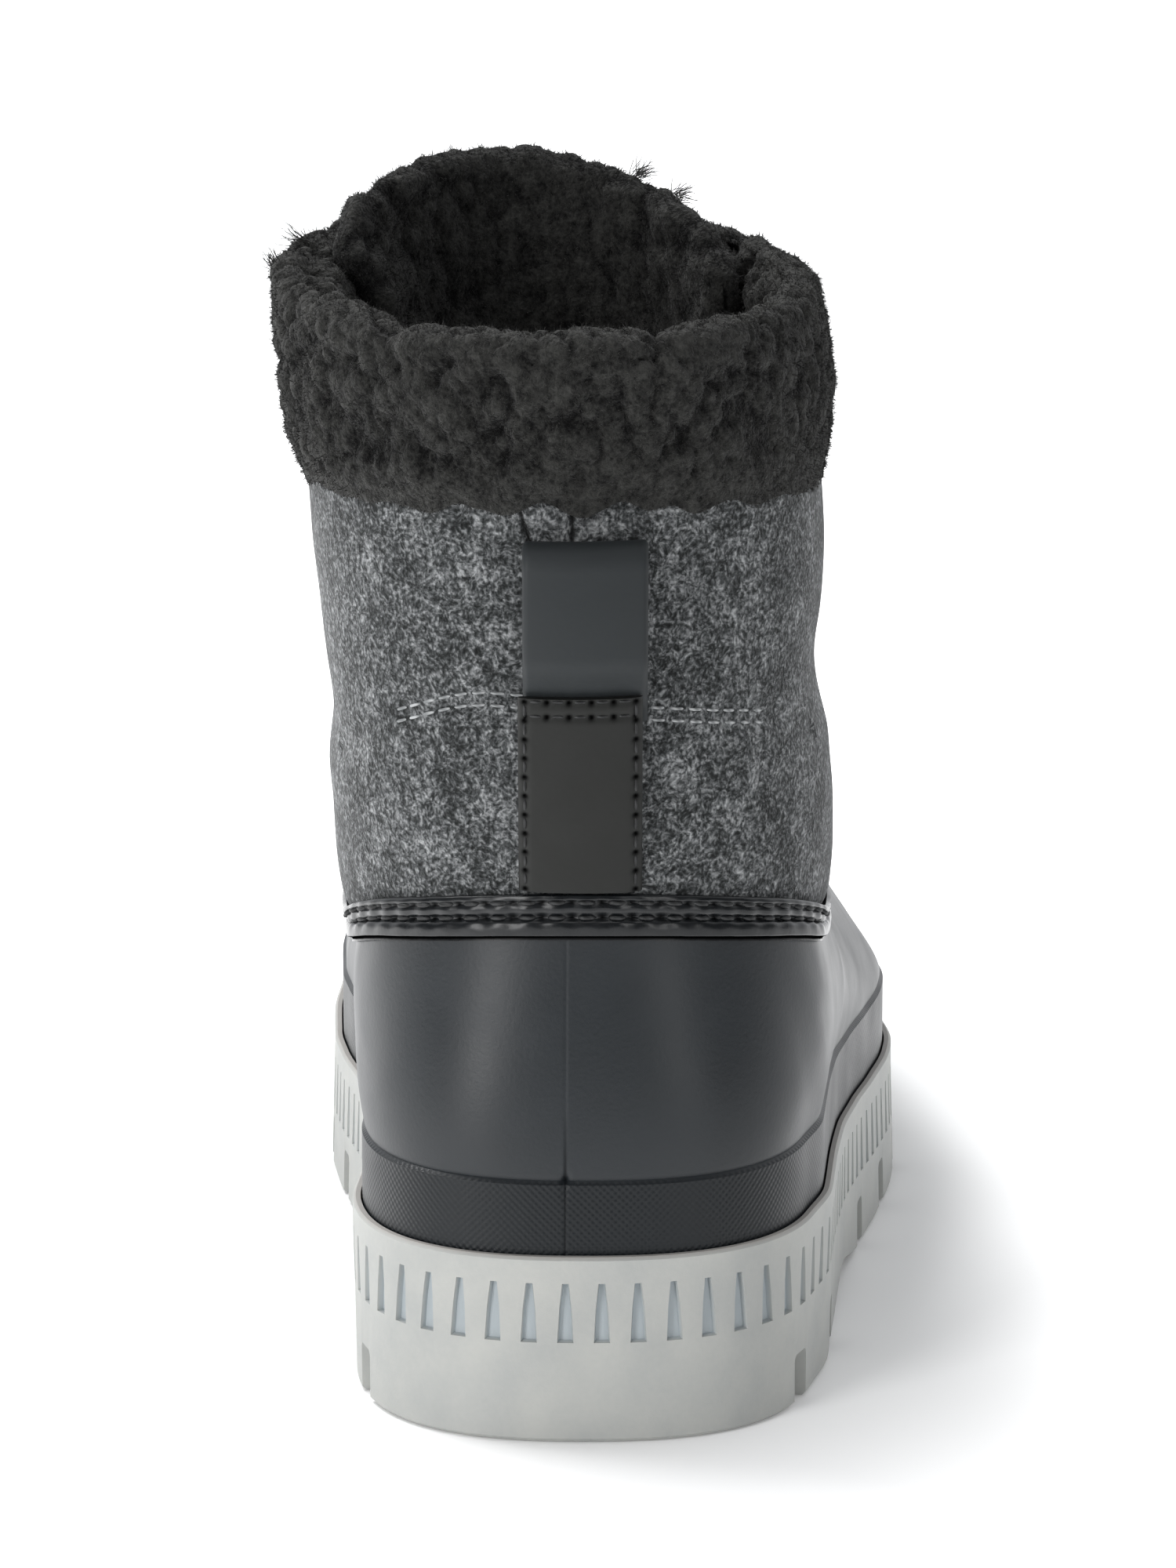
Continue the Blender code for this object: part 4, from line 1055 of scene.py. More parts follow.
# %% Light rows of the heel stiffener
COUNTER_SPANS = ((-40, -9), (11, 44))  # in degrees, beside the strap
SUNK_FROM, SUNK_TO = (15, -0.22), (44, -0.45)  # degrees and depth: the felt closes over the far ends
counter_rows = []
for first, last in COUNTER_SPANS:
    for drop in (0.0, COUNTER_GAP):
        turn = np.radians(np.linspace(first, last, 60))
        height = smooth(COUNTER_ROW, "height", np.degrees(turn)) - drop
        sunk = np.interp(np.abs(np.degrees(turn)), *zip(SUNK_FROM, SUNK_TO))
        place = shaft_point(turn, height, sunk)
        counter_rows.append((place, shaft_point(turn, height, sunk + 1.0) - place))
stiffener_thread = stitches("stiffener_stitches", counter_rows, pitch=3.4, length=2.5, radius=0.25)
dress(stiffener_thread, grey_thread, "grey_felt")

# %% [markdown]
# ## Seam band
# A strip of coated synthetic leather covers the joint of rubber and felt. Two rows of heavy stitches pull it
# in, so it puckers between the needle holes, and its lower edge stands out as a glossy roll. The puckers are
# ripples in the mesh with the pitch of the stitches, so they and the stitches stay in step.


# %% Coated synthetic leather
# Polyurethane on a knit has a fine pressed grain. It is glossy on the band, nearly matt on strap and loop.
def leatherette(name, dark, light, roughness, coat):
    coated, tree, shader, where = new_material(
        name, Roughness=roughness, IOR=1.5, Coat_Weight=coat, Coat_Roughness=0.22
    )
    pebble_mm, tone_mm = 0.9, 6.0
    pebble = node(
        tree, "ShaderNodeTexVoronoi", {"Vector": where, "Scale": 1 / (pebble_mm * MM)}, feature="SMOOTH_F1"
    )
    cloud = node(tree, "ShaderNodeTexNoise", {"Vector": where, "Scale": 1 / (tone_mm * MM), "Detail": 3.0})
    tone = node(
        tree,
        "ShaderNodeMix",
        {"Factor": cloud.outputs["Fac"], "A": linear(dark), "B": linear(light)},
        data_type="RGBA",
    )
    # Needle holes and the flange under the band's roll are painted shade: near black and without gloss.
    shaded_holes = node(tree, "ShaderNodeAttribute", attribute_name="hole_and_shade")
    hole_shaded = node(
        tree,
        "ShaderNodeMix",
        {"Factor": shaded_holes.outputs["Fac"], "A": tone.outputs["Result"], "B": linear("#050505")},
        data_type="RGBA",
    )
    tree.links.new(hole_shaded.outputs["Result"], shader.inputs["Base Color"])
    for socket, share in (("Specular IOR Level", 0.38), ("Coat Weight", coat)):
        gloss = node(
            tree, "ShaderNodeMapRange", {"Value": shaded_holes.outputs["Fac"], "To Min": share, "To Max": 0.0}
        )
        tree.links.new(gloss.outputs["Result"], shader.inputs[socket])
    dull = node(
        tree,
        "ShaderNodeMapRange",
        {
            "Value": cloud.outputs["Fac"],
            "From Min": 0.3,
            "From Max": 0.7,
            "To Min": roughness - 0.05,
            "To Max": roughness + 0.06,
        },
    )
    tree.links.new(dull.outputs["Result"], shader.inputs["Roughness"])
    bump = node(
        tree, "ShaderNodeBump", {"Height": pebble.outputs["Distance"], "Strength": 0.12, "Distance": 0.0002}
    )
    tree.links.new(bump.outputs["Normal"], shader.inputs["Normal"])
    return coated


glossy_leatherette = leatherette("glossy_coated_leatherette", "#0C0E10", "#131619", 0.28, 0.2)
strap_leatherette = leatherette("matt_coated_leatherette", "#141513", "#1D1E1C", 0.6, 0.0)
# The loop's copy is lighter and bluer than the strap's: partly a cooler coating, partly painted light, since
# the loop's face tilts up.
loop_leatherette_lit = leatherette("slate_leatherette_partly_lit", "#212527", "#2A2E30", 0.6, 0.0)

# %% Along the seam
BAND_STITCH_PITCH = 4.6
band_ring = np.arange(-math.pi, math.pi, math.radians(0.5)) + 1e-4
no_felt = np.abs(np.degrees(band_ring)) > THROAT_ANGLE + 3
seam = seam_height(band_ring)
FINE_ROWS = 240  # in the top fifth of the shell, under the band
under = shell_surface(band_ring, np.linspace(0.8, 1, FINE_ROWS))
under_normals = ring_normals(under)
under_walked = walked_along(under[::-1])
seam_line = shaft_point(band_ring, seam)
seam_steps = np.linalg.norm(np.roll(seam_line, -1, axis=0) - seam_line, axis=1)
seam_walked = np.concatenate([[0], np.cumsum(seam_steps)[:-1]])
stitch_number = seam_walked / seam_steps.sum() * round(seam_steps.sum() / BAND_STITCH_PITCH)


def beside_seam(distance, out):
    """Points beside the seam: on the shell below it, on the felt above it, moved out along the normal."""
    if distance >= 0:
        slant = np.linalg.norm(shaft_point(band_ring, seam + 1) - seam_line, axis=-1)
        return shaft_point(band_ring, seam + distance / slant, out)
    row = FINE_ROWS - 1 - np.argmax(under_walked >= -distance, axis=0)
    column = np.arange(len(band_ring))
    return under[row, column] + np.asarray(out)[:, None] * under_normals[row, column]


print("stitches to a row of the band:", round(seam_steps.sum() / BAND_STITCH_PITCH))

# %% Holes and puckers of the band
BAND_BELOW, BAND_ABOVE = 4.2, 3.1
BEAD_HEAD, BEAD_FOOT, BEAD_ROLL = 0.8, 3.5, 0.25  # the roll at the lower edge, over a thin flange
BAND_ROWS_AT = (1.9, -0.4)  # the stitch rows, along the band's height from the seam line
BAND_ROW_HALF, BAND_HOLE_HALF = 0.55, 0.4
BAND_PULL, BAND_HOLE_PULL = 0.42, 0.2  # how far the rows and their holes are drawn in
PUCKER_DEPTH, PUCKER_AT, PUCKER_HALF = 0.32, 0.1, 2.3  # between the holes the face stands up
EDGE_FALL, EDGE_ROUND = 0.5, 0.7  # at the upper edge


def hole_peaks(number):
    """Peaks from 0 to 1 at whole stitch numbers, where the thread dives into its needle holes."""
    return np.maximum(np.cos(2 * math.pi * number), 0) ** 2


def band_holes(distance):
    """The needle holes of the band at a distance from the seam line, and the shade under its roll."""
    shaded_holes = sum(near(distance - row, BAND_HOLE_HALF) for row in BAND_ROWS_AT) * hole_peaks(stitch_number)
    if distance > 0.15 - BEAD_FOOT:
        return shaded_holes
    return np.full(len(band_ring), 0.2 if distance <= -BAND_BELOW else 1.0)


def band_swell(distance):
    """How far the band's face stands above its skin at a distance from the seam line."""
    pull = sum(near(distance - row, BAND_ROW_HALF) for row in BAND_ROWS_AT)
    pucker = 0.5 + 0.5 * np.cos(2 * math.pi * stitch_number)
    bead_share = np.clip((-distance - BEAD_HEAD) / (BEAD_FOOT - BEAD_HEAD), 0, 1)
    bead = BEAD_ROLL * np.sin(math.pi * bead_share**0.8)
    edge_fall = EDGE_FALL * np.clip((distance - BAND_ABOVE + EDGE_ROUND) / EDGE_ROUND, 0, 1)
    flange = np.clip((-distance - BEAD_FOOT + 0.1) / 0.2, 0, 1)
    drawn = BAND_PULL * pull + PUCKER_DEPTH * near(distance - PUCKER_AT, PUCKER_HALF) * pucker
    drawn = drawn + BAND_HOLE_PULL * band_holes(distance) * (flange == 0)
    return bead - edge_fall - flange - drawn


# %% Puckered band
BAND_SKIN, BAND_CLEAR = 1.3, GAP + 0.15
under_roll = np.linspace(-BEAD_FOOT - 0.15, -BEAD_FOOT + 0.2, 6)
over_roll = np.linspace(-3.15, BAND_ABOVE, 36)
band_places = np.concatenate([[-BAND_BELOW, -BEAD_FOOT - 0.3], under_roll, over_roll])
band_front = [beside_seam(d, BAND_CLEAR + BAND_SKIN + band_swell(d)) for d in band_places]
back_places = np.linspace(BAND_ABOVE, -BAND_BELOW, 5)
band_back = [beside_seam(d, np.full(len(band_ring), BAND_CLEAR)) for d in back_places]
at_seam = int(np.argmin(np.abs(band_places)))
for k in range(at_seam + 1, len(band_front)):
    band_front[k][no_felt] = band_front[at_seam][no_felt] + [0, -0.2, 0.02 * (k - at_seam)]
for k in (0, 1):
    band_back[k][no_felt] = band_back[2][no_felt] + [0, -0.1, 0.05]
band_sections = np.array(band_front + band_back).transpose(1, 0, 2)
# The marks carry painted shade in the needle holes and on the flange under the roll.
hole_marks = np.array([band_holes(d) for d in band_places] + [0 * stitch_number for d in back_places]).T
band = loft("seam_band_puckered", band_sections, ring=True, marks={"hole_and_shade": hole_marks}, sharp=70)
dress(band, glossy_leatherette, "black_leatherette", "seam_band")

# %% Stitches of the band
band_rows = []
for place in BAND_ROWS_AT:
    line = beside_seam(place, BAND_CLEAR + BAND_SKIN + band_swell(place))
    outward = beside_seam(place, np.ones(len(band_ring))) - beside_seam(place, np.zeros(len(band_ring)))
    sewn = ~no_felt if place > 0 else np.ones(len(band_ring), bool)
    band_rows.append((line[sewn], outward[sewn], stitch_number[sewn]))
band_thread = stitches("seam_band_stitches", band_rows, BAND_STITCH_PITCH, length=2.9, radius=0.38)
dress(band_thread, black_thread, "black_leatherette")

# %% [markdown]
# ## Heel strap and pull loop
# A matt strip is sewn down the back of the felt, and the ends of a folded loop, which a finger pulls, are
# caught under its head. Both are thin strips whose section is a flat bar with soft edges, swept up the back.

# %% Strips up the back
STRAP_WIDTH = 19.5  # the loop's too
STRIP_EDGE = 0.07  # share of the half width that its edges round off


def back_points(across, height, out):
    """Points off the back of the felt: x across it, heights, and distances straight back from the felt."""
    egg = smooth(SHAFT, "egg", height)
    reach = smooth(SHAFT, "half", height) * (1 + egg) / (1 + egg**2 / 2)
    angle = np.arcsin((across - smooth(SHAFT, "middle", height)) / reach)
    straight_back = shaft_point(0.0, height, 1.0) - shaft_point(0.0, height)
    return shaft_point(angle, height) + np.asarray(out)[..., None] * straight_back


def strip(name, height, out, thickness, middle, sewing=None):
    """A strip with soft edges along heights and distances. sewing gives its stitch rows and holes."""
    side = np.linspace(-1, 1, 71 if sewing else 41)
    run = np.gradient(np.stack([height, out]), axis=1)
    run /= np.linalg.norm(run, axis=0)
    across = middle + side * STRAP_WIDTH / 2
    edge = 0.5 * np.clip((np.abs(side) - 1 + STRIP_EDGE) / STRIP_EDGE, 0, 1) ** 2
    sections, hole_marks = [], []
    for i in range(len(height)):
        drawn, shaded_holes = sewing(side, height[i]) if sewing else np.zeros((2, len(side)))
        face = thickness * (1 - edge) - drawn
        front = back_points(across, height[i] - run[1, i] * face, out[i] + run[0, i] * face)
        behind_face = thickness * edge * 0.5
        back = back_points(across, height[i] - run[1, i] * behind_face, out[i] + run[0, i] * behind_face)
        sections.append(np.concatenate([front, back[::-1]]))
        hole_marks.append(np.concatenate([shaded_holes, 0 * shaded_holes]))
    return loft(name, np.array(sections), marks={"hole_and_shade": hole_marks}, sharp=50)


# %% Heel strap
STRAP_SKIN, STRAP_MIDDLE, STRAP_FOOT, STRAP_HEAD = 1.3, -1.2, 89.4, 121.6
LOOP_PLY, REST = 1.2, GAP + 0.2
STITCH_SIDE = 0.89  # of the strap's half width
STITCH_TOPS = (121.0, 118.6)
SIDE_SPAN = (STRAP_FOOT + 0.4, STITCH_TOPS[0])
SIDE_STITCHES, TOP_STITCHES = 10, 5
ROW_DEPTH, ROW_HALF, HOLE_HALF = 0.3, 0.6, 0.5
MARGIN_FALL, HOLE_PULL, HOLE_SHADE = 0.25, 0.25, 1.3  # outside the rows, and in the holes


def strap_sewing(side, height):
    """How far the strap's face is drawn in by its stitch rows, and where its needle holes are."""
    from_row = (np.abs(side) - STITCH_SIDE) * STRAP_WIDTH / 2
    number = (height - SIDE_SPAN[0]) / (SIDE_SPAN[1] - SIDE_SPAN[0]) * SIDE_STITCHES
    row, hole_and_shade = near(from_row, ROW_HALF), near(from_row, HOLE_HALF) * hole_peaks(number)
    between_rows = np.abs(side) < STITCH_SIDE
    number = (side / STITCH_SIDE + 1) / 2 * TOP_STITCHES
    for top in STITCH_TOPS:
        row = np.maximum(row, between_rows * near(height - top, ROW_HALF))
        hole_and_shade = np.maximum(hole_and_shade, between_rows * near(height - top, HOLE_HALF) * hole_peaks(number))
    margin = np.clip(from_row / ROW_HALF, 0, 1)
    drawn = ROW_DEPTH * row + MARGIN_FALL * margin + HOLE_PULL * hole_and_shade
    return drawn, np.minimum(HOLE_SHADE * hole_and_shade, 1)


strap_height = np.linspace(STRAP_FOOT, STRAP_HEAD, 130)
over_loop = 2 * LOOP_PLY + 5 * GAP
strap_lift = REST + over_loop * np.linspace(0, 1, len(strap_height))
strap = strip("heel_strap_sewn", strap_height, strap_lift, STRAP_SKIN, STRAP_MIDDLE, strap_sewing)
dress(strap, strap_leatherette, "black_leatherette", "heel_strap")

# %% Pull loop
LOOP_MIDDLE, LOOP_TOP, LOOP_TUCK, LOOP_ROOM = -0.4, 146.3, 4.5, 7.4
fold = (LOOP_ROOM - 1.6) / 2
bend_height = LOOP_TOP - fold - LOOP_PLY
inside = REST + LOOP_PLY
loop_foot = STRAP_HEAD - LOOP_TUCK
OUTER_PLY = table(
    "height out",
    (loop_foot, inside + GAP),
    (loop_foot + 0.4 * LOOP_TUCK, inside + GAP),
    (STRAP_HEAD + 1.2, inside + 1.9),
    (STRAP_HEAD + 7.0, inside + LOOP_ROOM - 1.6),
    (STRAP_HEAD + 14.0, inside + LOOP_ROOM - 1.3),
    (bend_height, inside + 2 * fold),
)
rise = np.linspace(loop_foot, bend_height, 50)
turn = np.linspace(0, math.pi, 17)[1:]
fall = np.linspace(bend_height, loop_foot, 40)[1:]
loop_height = np.concatenate([rise, bend_height + fold * np.sin(turn), fall])
bent_out = inside + fold + fold * np.cos(turn)
loop_out = np.concatenate([smooth(OUTER_PLY, "out", rise), bent_out, np.full(len(fall), inside)])
loop = strip("pull_loop_folded", loop_height, loop_out, LOOP_PLY, LOOP_MIDDLE)
dress(loop, loop_leatherette_lit, "black_leatherette", "pull_loop")

# %% Stitches of the strap
strap_rows = []
face = STRAP_SKIN - ROW_DEPTH - 0.1
for side in (-STITCH_SIDE, STITCH_SIDE):
    x = STRAP_MIDDLE + side * STRAP_WIDTH / 2
    heights = np.linspace(*SIDE_SPAN, 60)
    lift = np.interp(heights, strap_height, strap_lift) + face
    line = np.array([back_points(x, h, o) for h, o in zip(heights, lift)])
    outward = np.array([back_points(x, h, o + 1) for h, o in zip(heights, lift)]) - line
    strap_rows.append((line, outward, np.linspace(0, SIDE_STITCHES, 60)))
for top in STITCH_TOPS:
    x = STRAP_MIDDLE + np.linspace(-STITCH_SIDE, STITCH_SIDE, 40) * STRAP_WIDTH / 2
    lift = float(np.interp(top, strap_height, strap_lift)) + face
    line = back_points(x, top, lift)
    strap_rows.append((line, back_points(x, top, lift + 1) - line, np.linspace(0, TOP_STITCHES, 40)))
strap_thread = stitches("heel_strap_stitches", strap_rows, pitch=3.2, length=2.2, radius=0.25)
dress(strap_thread, black_thread, "black_leatherette")

# %% [markdown]
# ## Fleece
# The cuff, tongue and lining are curly knitted pile, the kind made to look like lambskin. It has two scales:
# curls a few millimetres across that crowd each other, and loose fibres that blur every edge. The curls are
# raised in the mesh round scattered centres, and the fibres are thousands of short bent blades in one mesh.


# %% Black fleece pile
# Curly acrylic pile scatters light among its fibres: no gloss, valleys painted in shade, a soft pale bloom at
# the edges.
fleece, tree, shader, where = new_material(
    "black_acrylic_fleece",
    Roughness=1.0,
    IOR=1.5,
    Specular_IOR_Level=0.15,
    Sheen_Weight=0.1,
    Sheen_Roughness=0.5,
)
LOCK_MM, TUFT_MM, CURL_SHADE_SHARE = 2.6, 0.8, 0.35
upright = node(tree, "ShaderNodeVectorMath", {0: where, 1: (1.0, 1.0, 0.95)}, operation="MULTIPLY")
pile_scales = []
for size in (LOCK_MM, TUFT_MM):
    pile_scales.append(
        node(
            tree,
            "ShaderNodeTexNoise",
            {"Vector": upright.outputs["Vector"], "Scale": 1 / (size * MM), "Detail": 3.0, "Roughness": 0.65},
        )
    )
lock, tuft = pile_scales
pile = node(tree, "ShaderNodeMath", {0: lock.outputs["Fac"], 1: tuft.outputs["Fac"]}, operation="ADD")
# Painted shade: the lower a point lies in a curl, the darker it is painted.
curl_shade = node(tree, "ShaderNodeAttribute", attribute_name="curl_shade")
curl_shaded = node(
    tree,
    "ShaderNodeMath",
    {0: curl_shade.outputs["Fac"], 1: CURL_SHADE_SHARE, 2: pile.outputs["Value"]},
    operation="MULTIPLY_ADD",
)
pile_tone = node(
    tree,
    "ShaderNodeMapRange",
    {"Value": curl_shaded.outputs["Value"], "From Min": 1.0, "From Max": 1.5, "To Min": 0.0, "To Max": 1.0},
)
pile_colour = node(
    tree,
    "ShaderNodeMix",
    {"Factor": pile_tone.outputs["Result"], "A": linear("#0F0F0F"), "B": linear("#3E3E3C")},
    data_type="RGBA",
)
tree.links.new(pile_colour.outputs["Result"], shader.inputs["Base Color"])
pile_bump = node(
    tree, "ShaderNodeBump", {"Height": pile.outputs["Value"], "Strength": 0.8, "Distance": 0.001}
)
tree.links.new(pile_bump.outputs["Normal"], shader.inputs["Normal"])

# %% Curls
CURL_CROWD = 0.8  # curls to a square of one spacing
CURL_REACH = 0.85  # of a spacing, from a curl's crown to its foot
CURL_SQUASH = (1.0, 1.0, 0.9)  # heights count for a little less, so curls are a little taller than wide


def curls(spots, spacing):
    """Height from 0 to 1 of round curls about one spacing across, at a grid of points."""
    sides = np.diff(spots, axis=0)[:, :-1], np.diff(spots, axis=1)[:-1]
    area = np.linalg.norm(np.cross(*sides), axis=-1).sum()
    flat = spots.reshape(-1, 3) * CURL_SQUASH
    count = min(len(flat), int(CURL_CROWD * area * CURL_SQUASH[2] / spacing**2))
    crowns = kdtree.KDTree(count)
    for i, spot in enumerate(flat[rng.choice(len(flat), count, replace=False)]):
        crowns.insert(spot, i)
    crowns.balance()
    away = np.array([crowns.find(spot)[2] for spot in flat]) / (CURL_REACH * spacing)
    return np.sqrt(np.clip(1 - away**2, 0, 1)).reshape(spots.shape[:2])


PILE = table(  # the curls of the pile: how far apart and how high
    "spacing height",
    (5.0, 1.1),
    (2.7, 1.1),
    (1.5, 0.5),
)
BROAD_MM, BROAD_HEIGHT = 16.0, 0.9  # slow swells of the whole pile


def curly(sections, ring, raised):
    """Sections with curls on them, raised by a factor, and marks of how high in a curl a point is, which
    paint shade in the valleys.
    """
    height = BROAD_HEIGHT * swells(sections, BROAD_MM)
    curl_shade = np.zeros(sections.shape[:2])
    for spacing, rise in zip(PILE["spacing"], PILE["height"]):
        curl = curls(sections, spacing)
        height += rise * (curl - 0.7)
        curl_shade += rise * curl / PILE["height"].sum()
    return sections + (height * raised)[..., None] * section_normals(sections, ring), {"curl_shade": curl_shade}


def fleece_piece(name, sections, raised, *nodes, ring=False):
    """A dressed piece of pile with curls on its sections, and the points of its surface."""
    pile, marks = curly(np.asarray(sections), ring, raised)
    piece = loft(name, pile, ring=ring, marks=marks, sharp=180)
    return dress(piece, fleece, "black_fleece", *nodes), pile


# %% Loose fibres
FIBRE_LENGTH, FIBRE_WIDTH = 1.15, 0.13  # drawn a few times thicker than real ones, to show
MOST_FIBRES = 60000


def blades(name, root, middle, tip, side, curl_shade):
    """One mesh of bent blades, each from its root over its middle to its tip."""
    vertices = np.stack([root - side, root + side, middle + 0.8 * side, middle - 0.8 * side, tip], axis=1)
    first = 5 * np.arange(len(root))[:, None]
    faces = (first + [0, 1, 2, 3]).tolist() + (first + [3, 2, 4]).tolist()
    return mesh_piece(name, vertices.reshape(-1, 3), faces, {"curl_shade": np.repeat(curl_shade, 5)}, sharp=180)


def fibres(name, piece, density, shown):
    """Short bent blades, so many to a square millimetre, on the faces of a piece that are shown."""
    mesh = piece.data
    mesh.calc_loop_triangles()
    spots = np.empty(len(mesh.vertices) * 3)
    mesh.vertices.foreach_get("co", spots)
    curl_shade = np.empty(len(mesh.vertices), np.float32)
    mesh.attributes["curl_shade"].data.foreach_get("value", curl_shade)
    corners = np.empty(len(mesh.loop_triangles) * 3, np.int32)
    mesh.loop_triangles.foreach_get("vertices", corners)
    face_of = np.empty(len(mesh.loop_triangles), np.int32)
    mesh.loop_triangles.foreach_get("polygon_index", face_of)
    shown = np.append(np.ravel(shown), np.zeros(len(mesh.polygons) - np.size(shown), bool))
    corners = corners.reshape(-1, 3)[shown[face_of]]
    faces = spots.reshape(-1, 3)[corners] / MM + SHIFT
    cross = np.cross(faces[:, 1] - faces[:, 0], faces[:, 2] - faces[:, 0])
    area = np.linalg.norm(cross, axis=1) / 2
    count = min(MOST_FIBRES, int(area.sum() * density))
    pick = rng.choice(len(faces), count, p=area / area.sum())
    u, v = rng.random((2, count, 1))
    u, v = np.where(u + v > 1, 1 - u, u), np.where(u + v > 1, 1 - v, v)
    root = faces[pick, 0] + u * (faces[pick, 1] - faces[pick, 0]) + v * (faces[pick, 2] - faces[pick, 0])
    normal = cross[pick] / (2 * area[pick, None])
    lean = unit(0.7 * normal + 0.8 * rng.normal(size=(count, 3)))
    lean += normal * np.maximum(0.15 - np.sum(lean * normal, axis=1, keepdims=True), 0)
    curl = unit(lean + 1.6 * rng.normal(size=(count, 3)))
    reach = FIBRE_LENGTH * rng.uniform(0.5, 1.2, (count, 1))
    middle = root + lean * reach * 0.5
    side = unit(np.cross(lean, rng.normal(size=(count, 3)))) * FIBRE_WIDTH / 2
    print(name, "has", count, "fibres,", round(count / area.sum(), 1), "to a square millimetre")
    tip = middle + curl * reach * 0.5
    return blades(name, root - 0.2 * normal, middle, tip, side, curl_shade[corners[pick, 0]])

# %% [markdown]
# ## Cuff
# The lining's fleece turns over the felt's top edge and hangs outside it as a thick flap. Its section is a
# hook: flap, crown and lining. Round it the flap hangs lower at the sides and slouches to the medial side.

# %% Turned-over cuff
def rounded(corners, per_corner):
    """A closed smooth line through a closed list of corners, in cubic arcs from one to the next."""
    p0, p1, p2, p3 = (np.roll(corners, k, axis=0)[:, None] for k in (1, 0, -1, -2))
    t = np.linspace(0, 1, per_corner, endpoint=False)[None, :, None]
    line = p1 + 0.5 * t * (p2 - p0 + t * (2 * p0 - 5 * p1 + 4 * p2 - p3 + t * (3 * (p1 - p2) + p3 - p0)))
    return line.reshape(-1, corners.shape[-1])


CUFF_FLAP, CUFF_SLOUCH, CUFF_LINING, CUFF_HANG, CUFF_SAG = 2.8, 1.1, 4.7, 26.0, 3.0
CUFF_UNEVEN, CUFF_UNEVEN_RATE = 2.2, 7.0  # the flap's lower edge wanders, about so often to a radian
lining = -FELT_WALL - CUFF_LINING
cuff_clear = GAP + 0.45
HOOK = table(
    "out drop raised",
    (cuff_clear, CUFF_HANG, 0.2),
    (CUFF_FLAP * 0.35, CUFF_HANG - 0.5, 0.7),
    (CUFF_FLAP * 0.75, CUFF_HANG - 5.0, 1.0),
    (CUFF_FLAP + 0.3, CUFF_HANG - 15.0, 1.0),
    (CUFF_FLAP - 0.4, 4.0, 1.2),
    (CUFF_FLAP / 2 - 0.6, 0.4, 1.6),
    (-FELT_WALL, 0.4, 1.6),
    (lining + 0.6, 4.5, 1.2),
    (lining, 13.0, 0.8),
    (lining, CUFF_HANG - 1.0, 0.3),
    (-FELT_WALL - cuff_clear, CUFF_HANG - 0.4, 0.0),
    (-FELT_WALL - cuff_clear, CUFF_CROWN - cuff_clear, 0.0),
    (cuff_clear, CUFF_CROWN - cuff_clear, 0.0),
)
HOOK_STEPS = 13
hook = rounded(rows_of(HOOK), HOOK_STEPS)
on_flap = np.arange(len(hook)) < 6 * HOOK_STEPS
END_ROUND = 0.07  # radians over which the cuff's ends round off
BACK_DIP = 1.3  # the crown lies lower at the back
tight_out = np.clip(hook[:, 0], -FELT_WALL - cuff_clear, cuff_clear)
tight_drop = np.maximum(hook[:, 1], CUFF_CROWN - cuff_clear)
cuff_ring = np.linspace(-throat, throat, 540)
cuff_sections = []
for angle in cuff_ring:
    from_end = min((throat - abs(angle)) / END_ROUND, 1)
    full = math.sqrt(from_end * (2 - from_end))
    out = tight_out + full * (hook[:, 0] - tight_out)
    drop = tight_drop + full * (hook[:, 1] - tight_drop)
    drop = drop + BACK_DIP * max(math.cos(angle), 0) ** 2 * np.clip(1 - hook[:, 1] / 5.5, 0, 1)
    out = out - np.where(on_flap, CUFF_SLOUCH * math.sin(angle) * hook[:, 2], 0.0)
    uneven = CUFF_UNEVEN * noise.noise(Vector((angle * CUFF_UNEVEN_RATE, 0.0, 0.0)))
    sag = np.where(on_flap, (CUFF_SAG * math.sin(angle) ** 2 + uneven) * hook[:, 1] / CUFF_HANG, 0.0)
    cuff_sections.append(shaft_point(angle, collar_height(angle) - drop - sag, out))
cuff_raised = np.maximum(hook[:, 2], 0)  # most at the crown
cuff, cuff_pile = fleece_piece("fleece_cuff_curly", cuff_sections, cuff_raised, "fleece_cuff")
cuff_shown = np.broadcast_to(cuff_raised > 0.25, (len(cuff_ring) - 1, len(hook)))
dress(fibres("fleece_cuff_fibres", cuff, 5.0, cuff_shown), fleece, "black_fleece")

# %% [markdown]
# ## Tongue
# The tongue is a padded tab behind the throat, faced with felt outside and fleece inside. It stands in an
# arch above the collar, turned a little to the medial side. Its columns run from the toe box to the arch.

# %% Padded tongue
TONGUE_FOOT_SPREAD, TONGUE_HEAD_SPREAD, TONGUE_TURN = 48.0, 82.0, 12.0
TONGUE_PAD, TONGUE_TOP, TONGUE_TUCK = 6.0, 196.0, 9.0
TONGUE_ARCH = table(  # fall of its top edge, by the share of its half width, medial if positive
    "side drop",
    (-1.0, 18.0),
    (-0.9, 13.0),
    (-0.75, 8.2),
    (-0.5, 3.8),
    (-0.25, 1.2),
    (0.0, 0.0),
    (0.25, 0.1),
    (0.5, 0.6),
    (0.75, 3.4),
    (0.9, 7.4),
    (1.0, 13.5),
)
TONGUE_FLARE, FLARE_FROM = 4.0, 176.0  # above the cuff its medial wing leans out
TONGUE_COLUMNS, TONGUE_ROWS = 160, 110
side = np.linspace(-1, 1, TONGUE_COLUMNS)
top = TONGUE_TOP - smooth(TONGUE_ARCH, "drop", side)
foot = seam_height(throat) - TONGUE_TUCK * (1 - 0.5 * np.abs(side))
rise = np.linspace(0, 1, TONGUE_ROWS)[:, None]
spread = TONGUE_FOOT_SPREAD + (TONGUE_HEAD_SPREAD - TONGUE_FOOT_SPREAD) * np.sqrt(rise)
tongue_angle = np.radians(180 + TONGUE_TURN * rise + side * spread)
tongue_height = foot + rise * (top - foot)
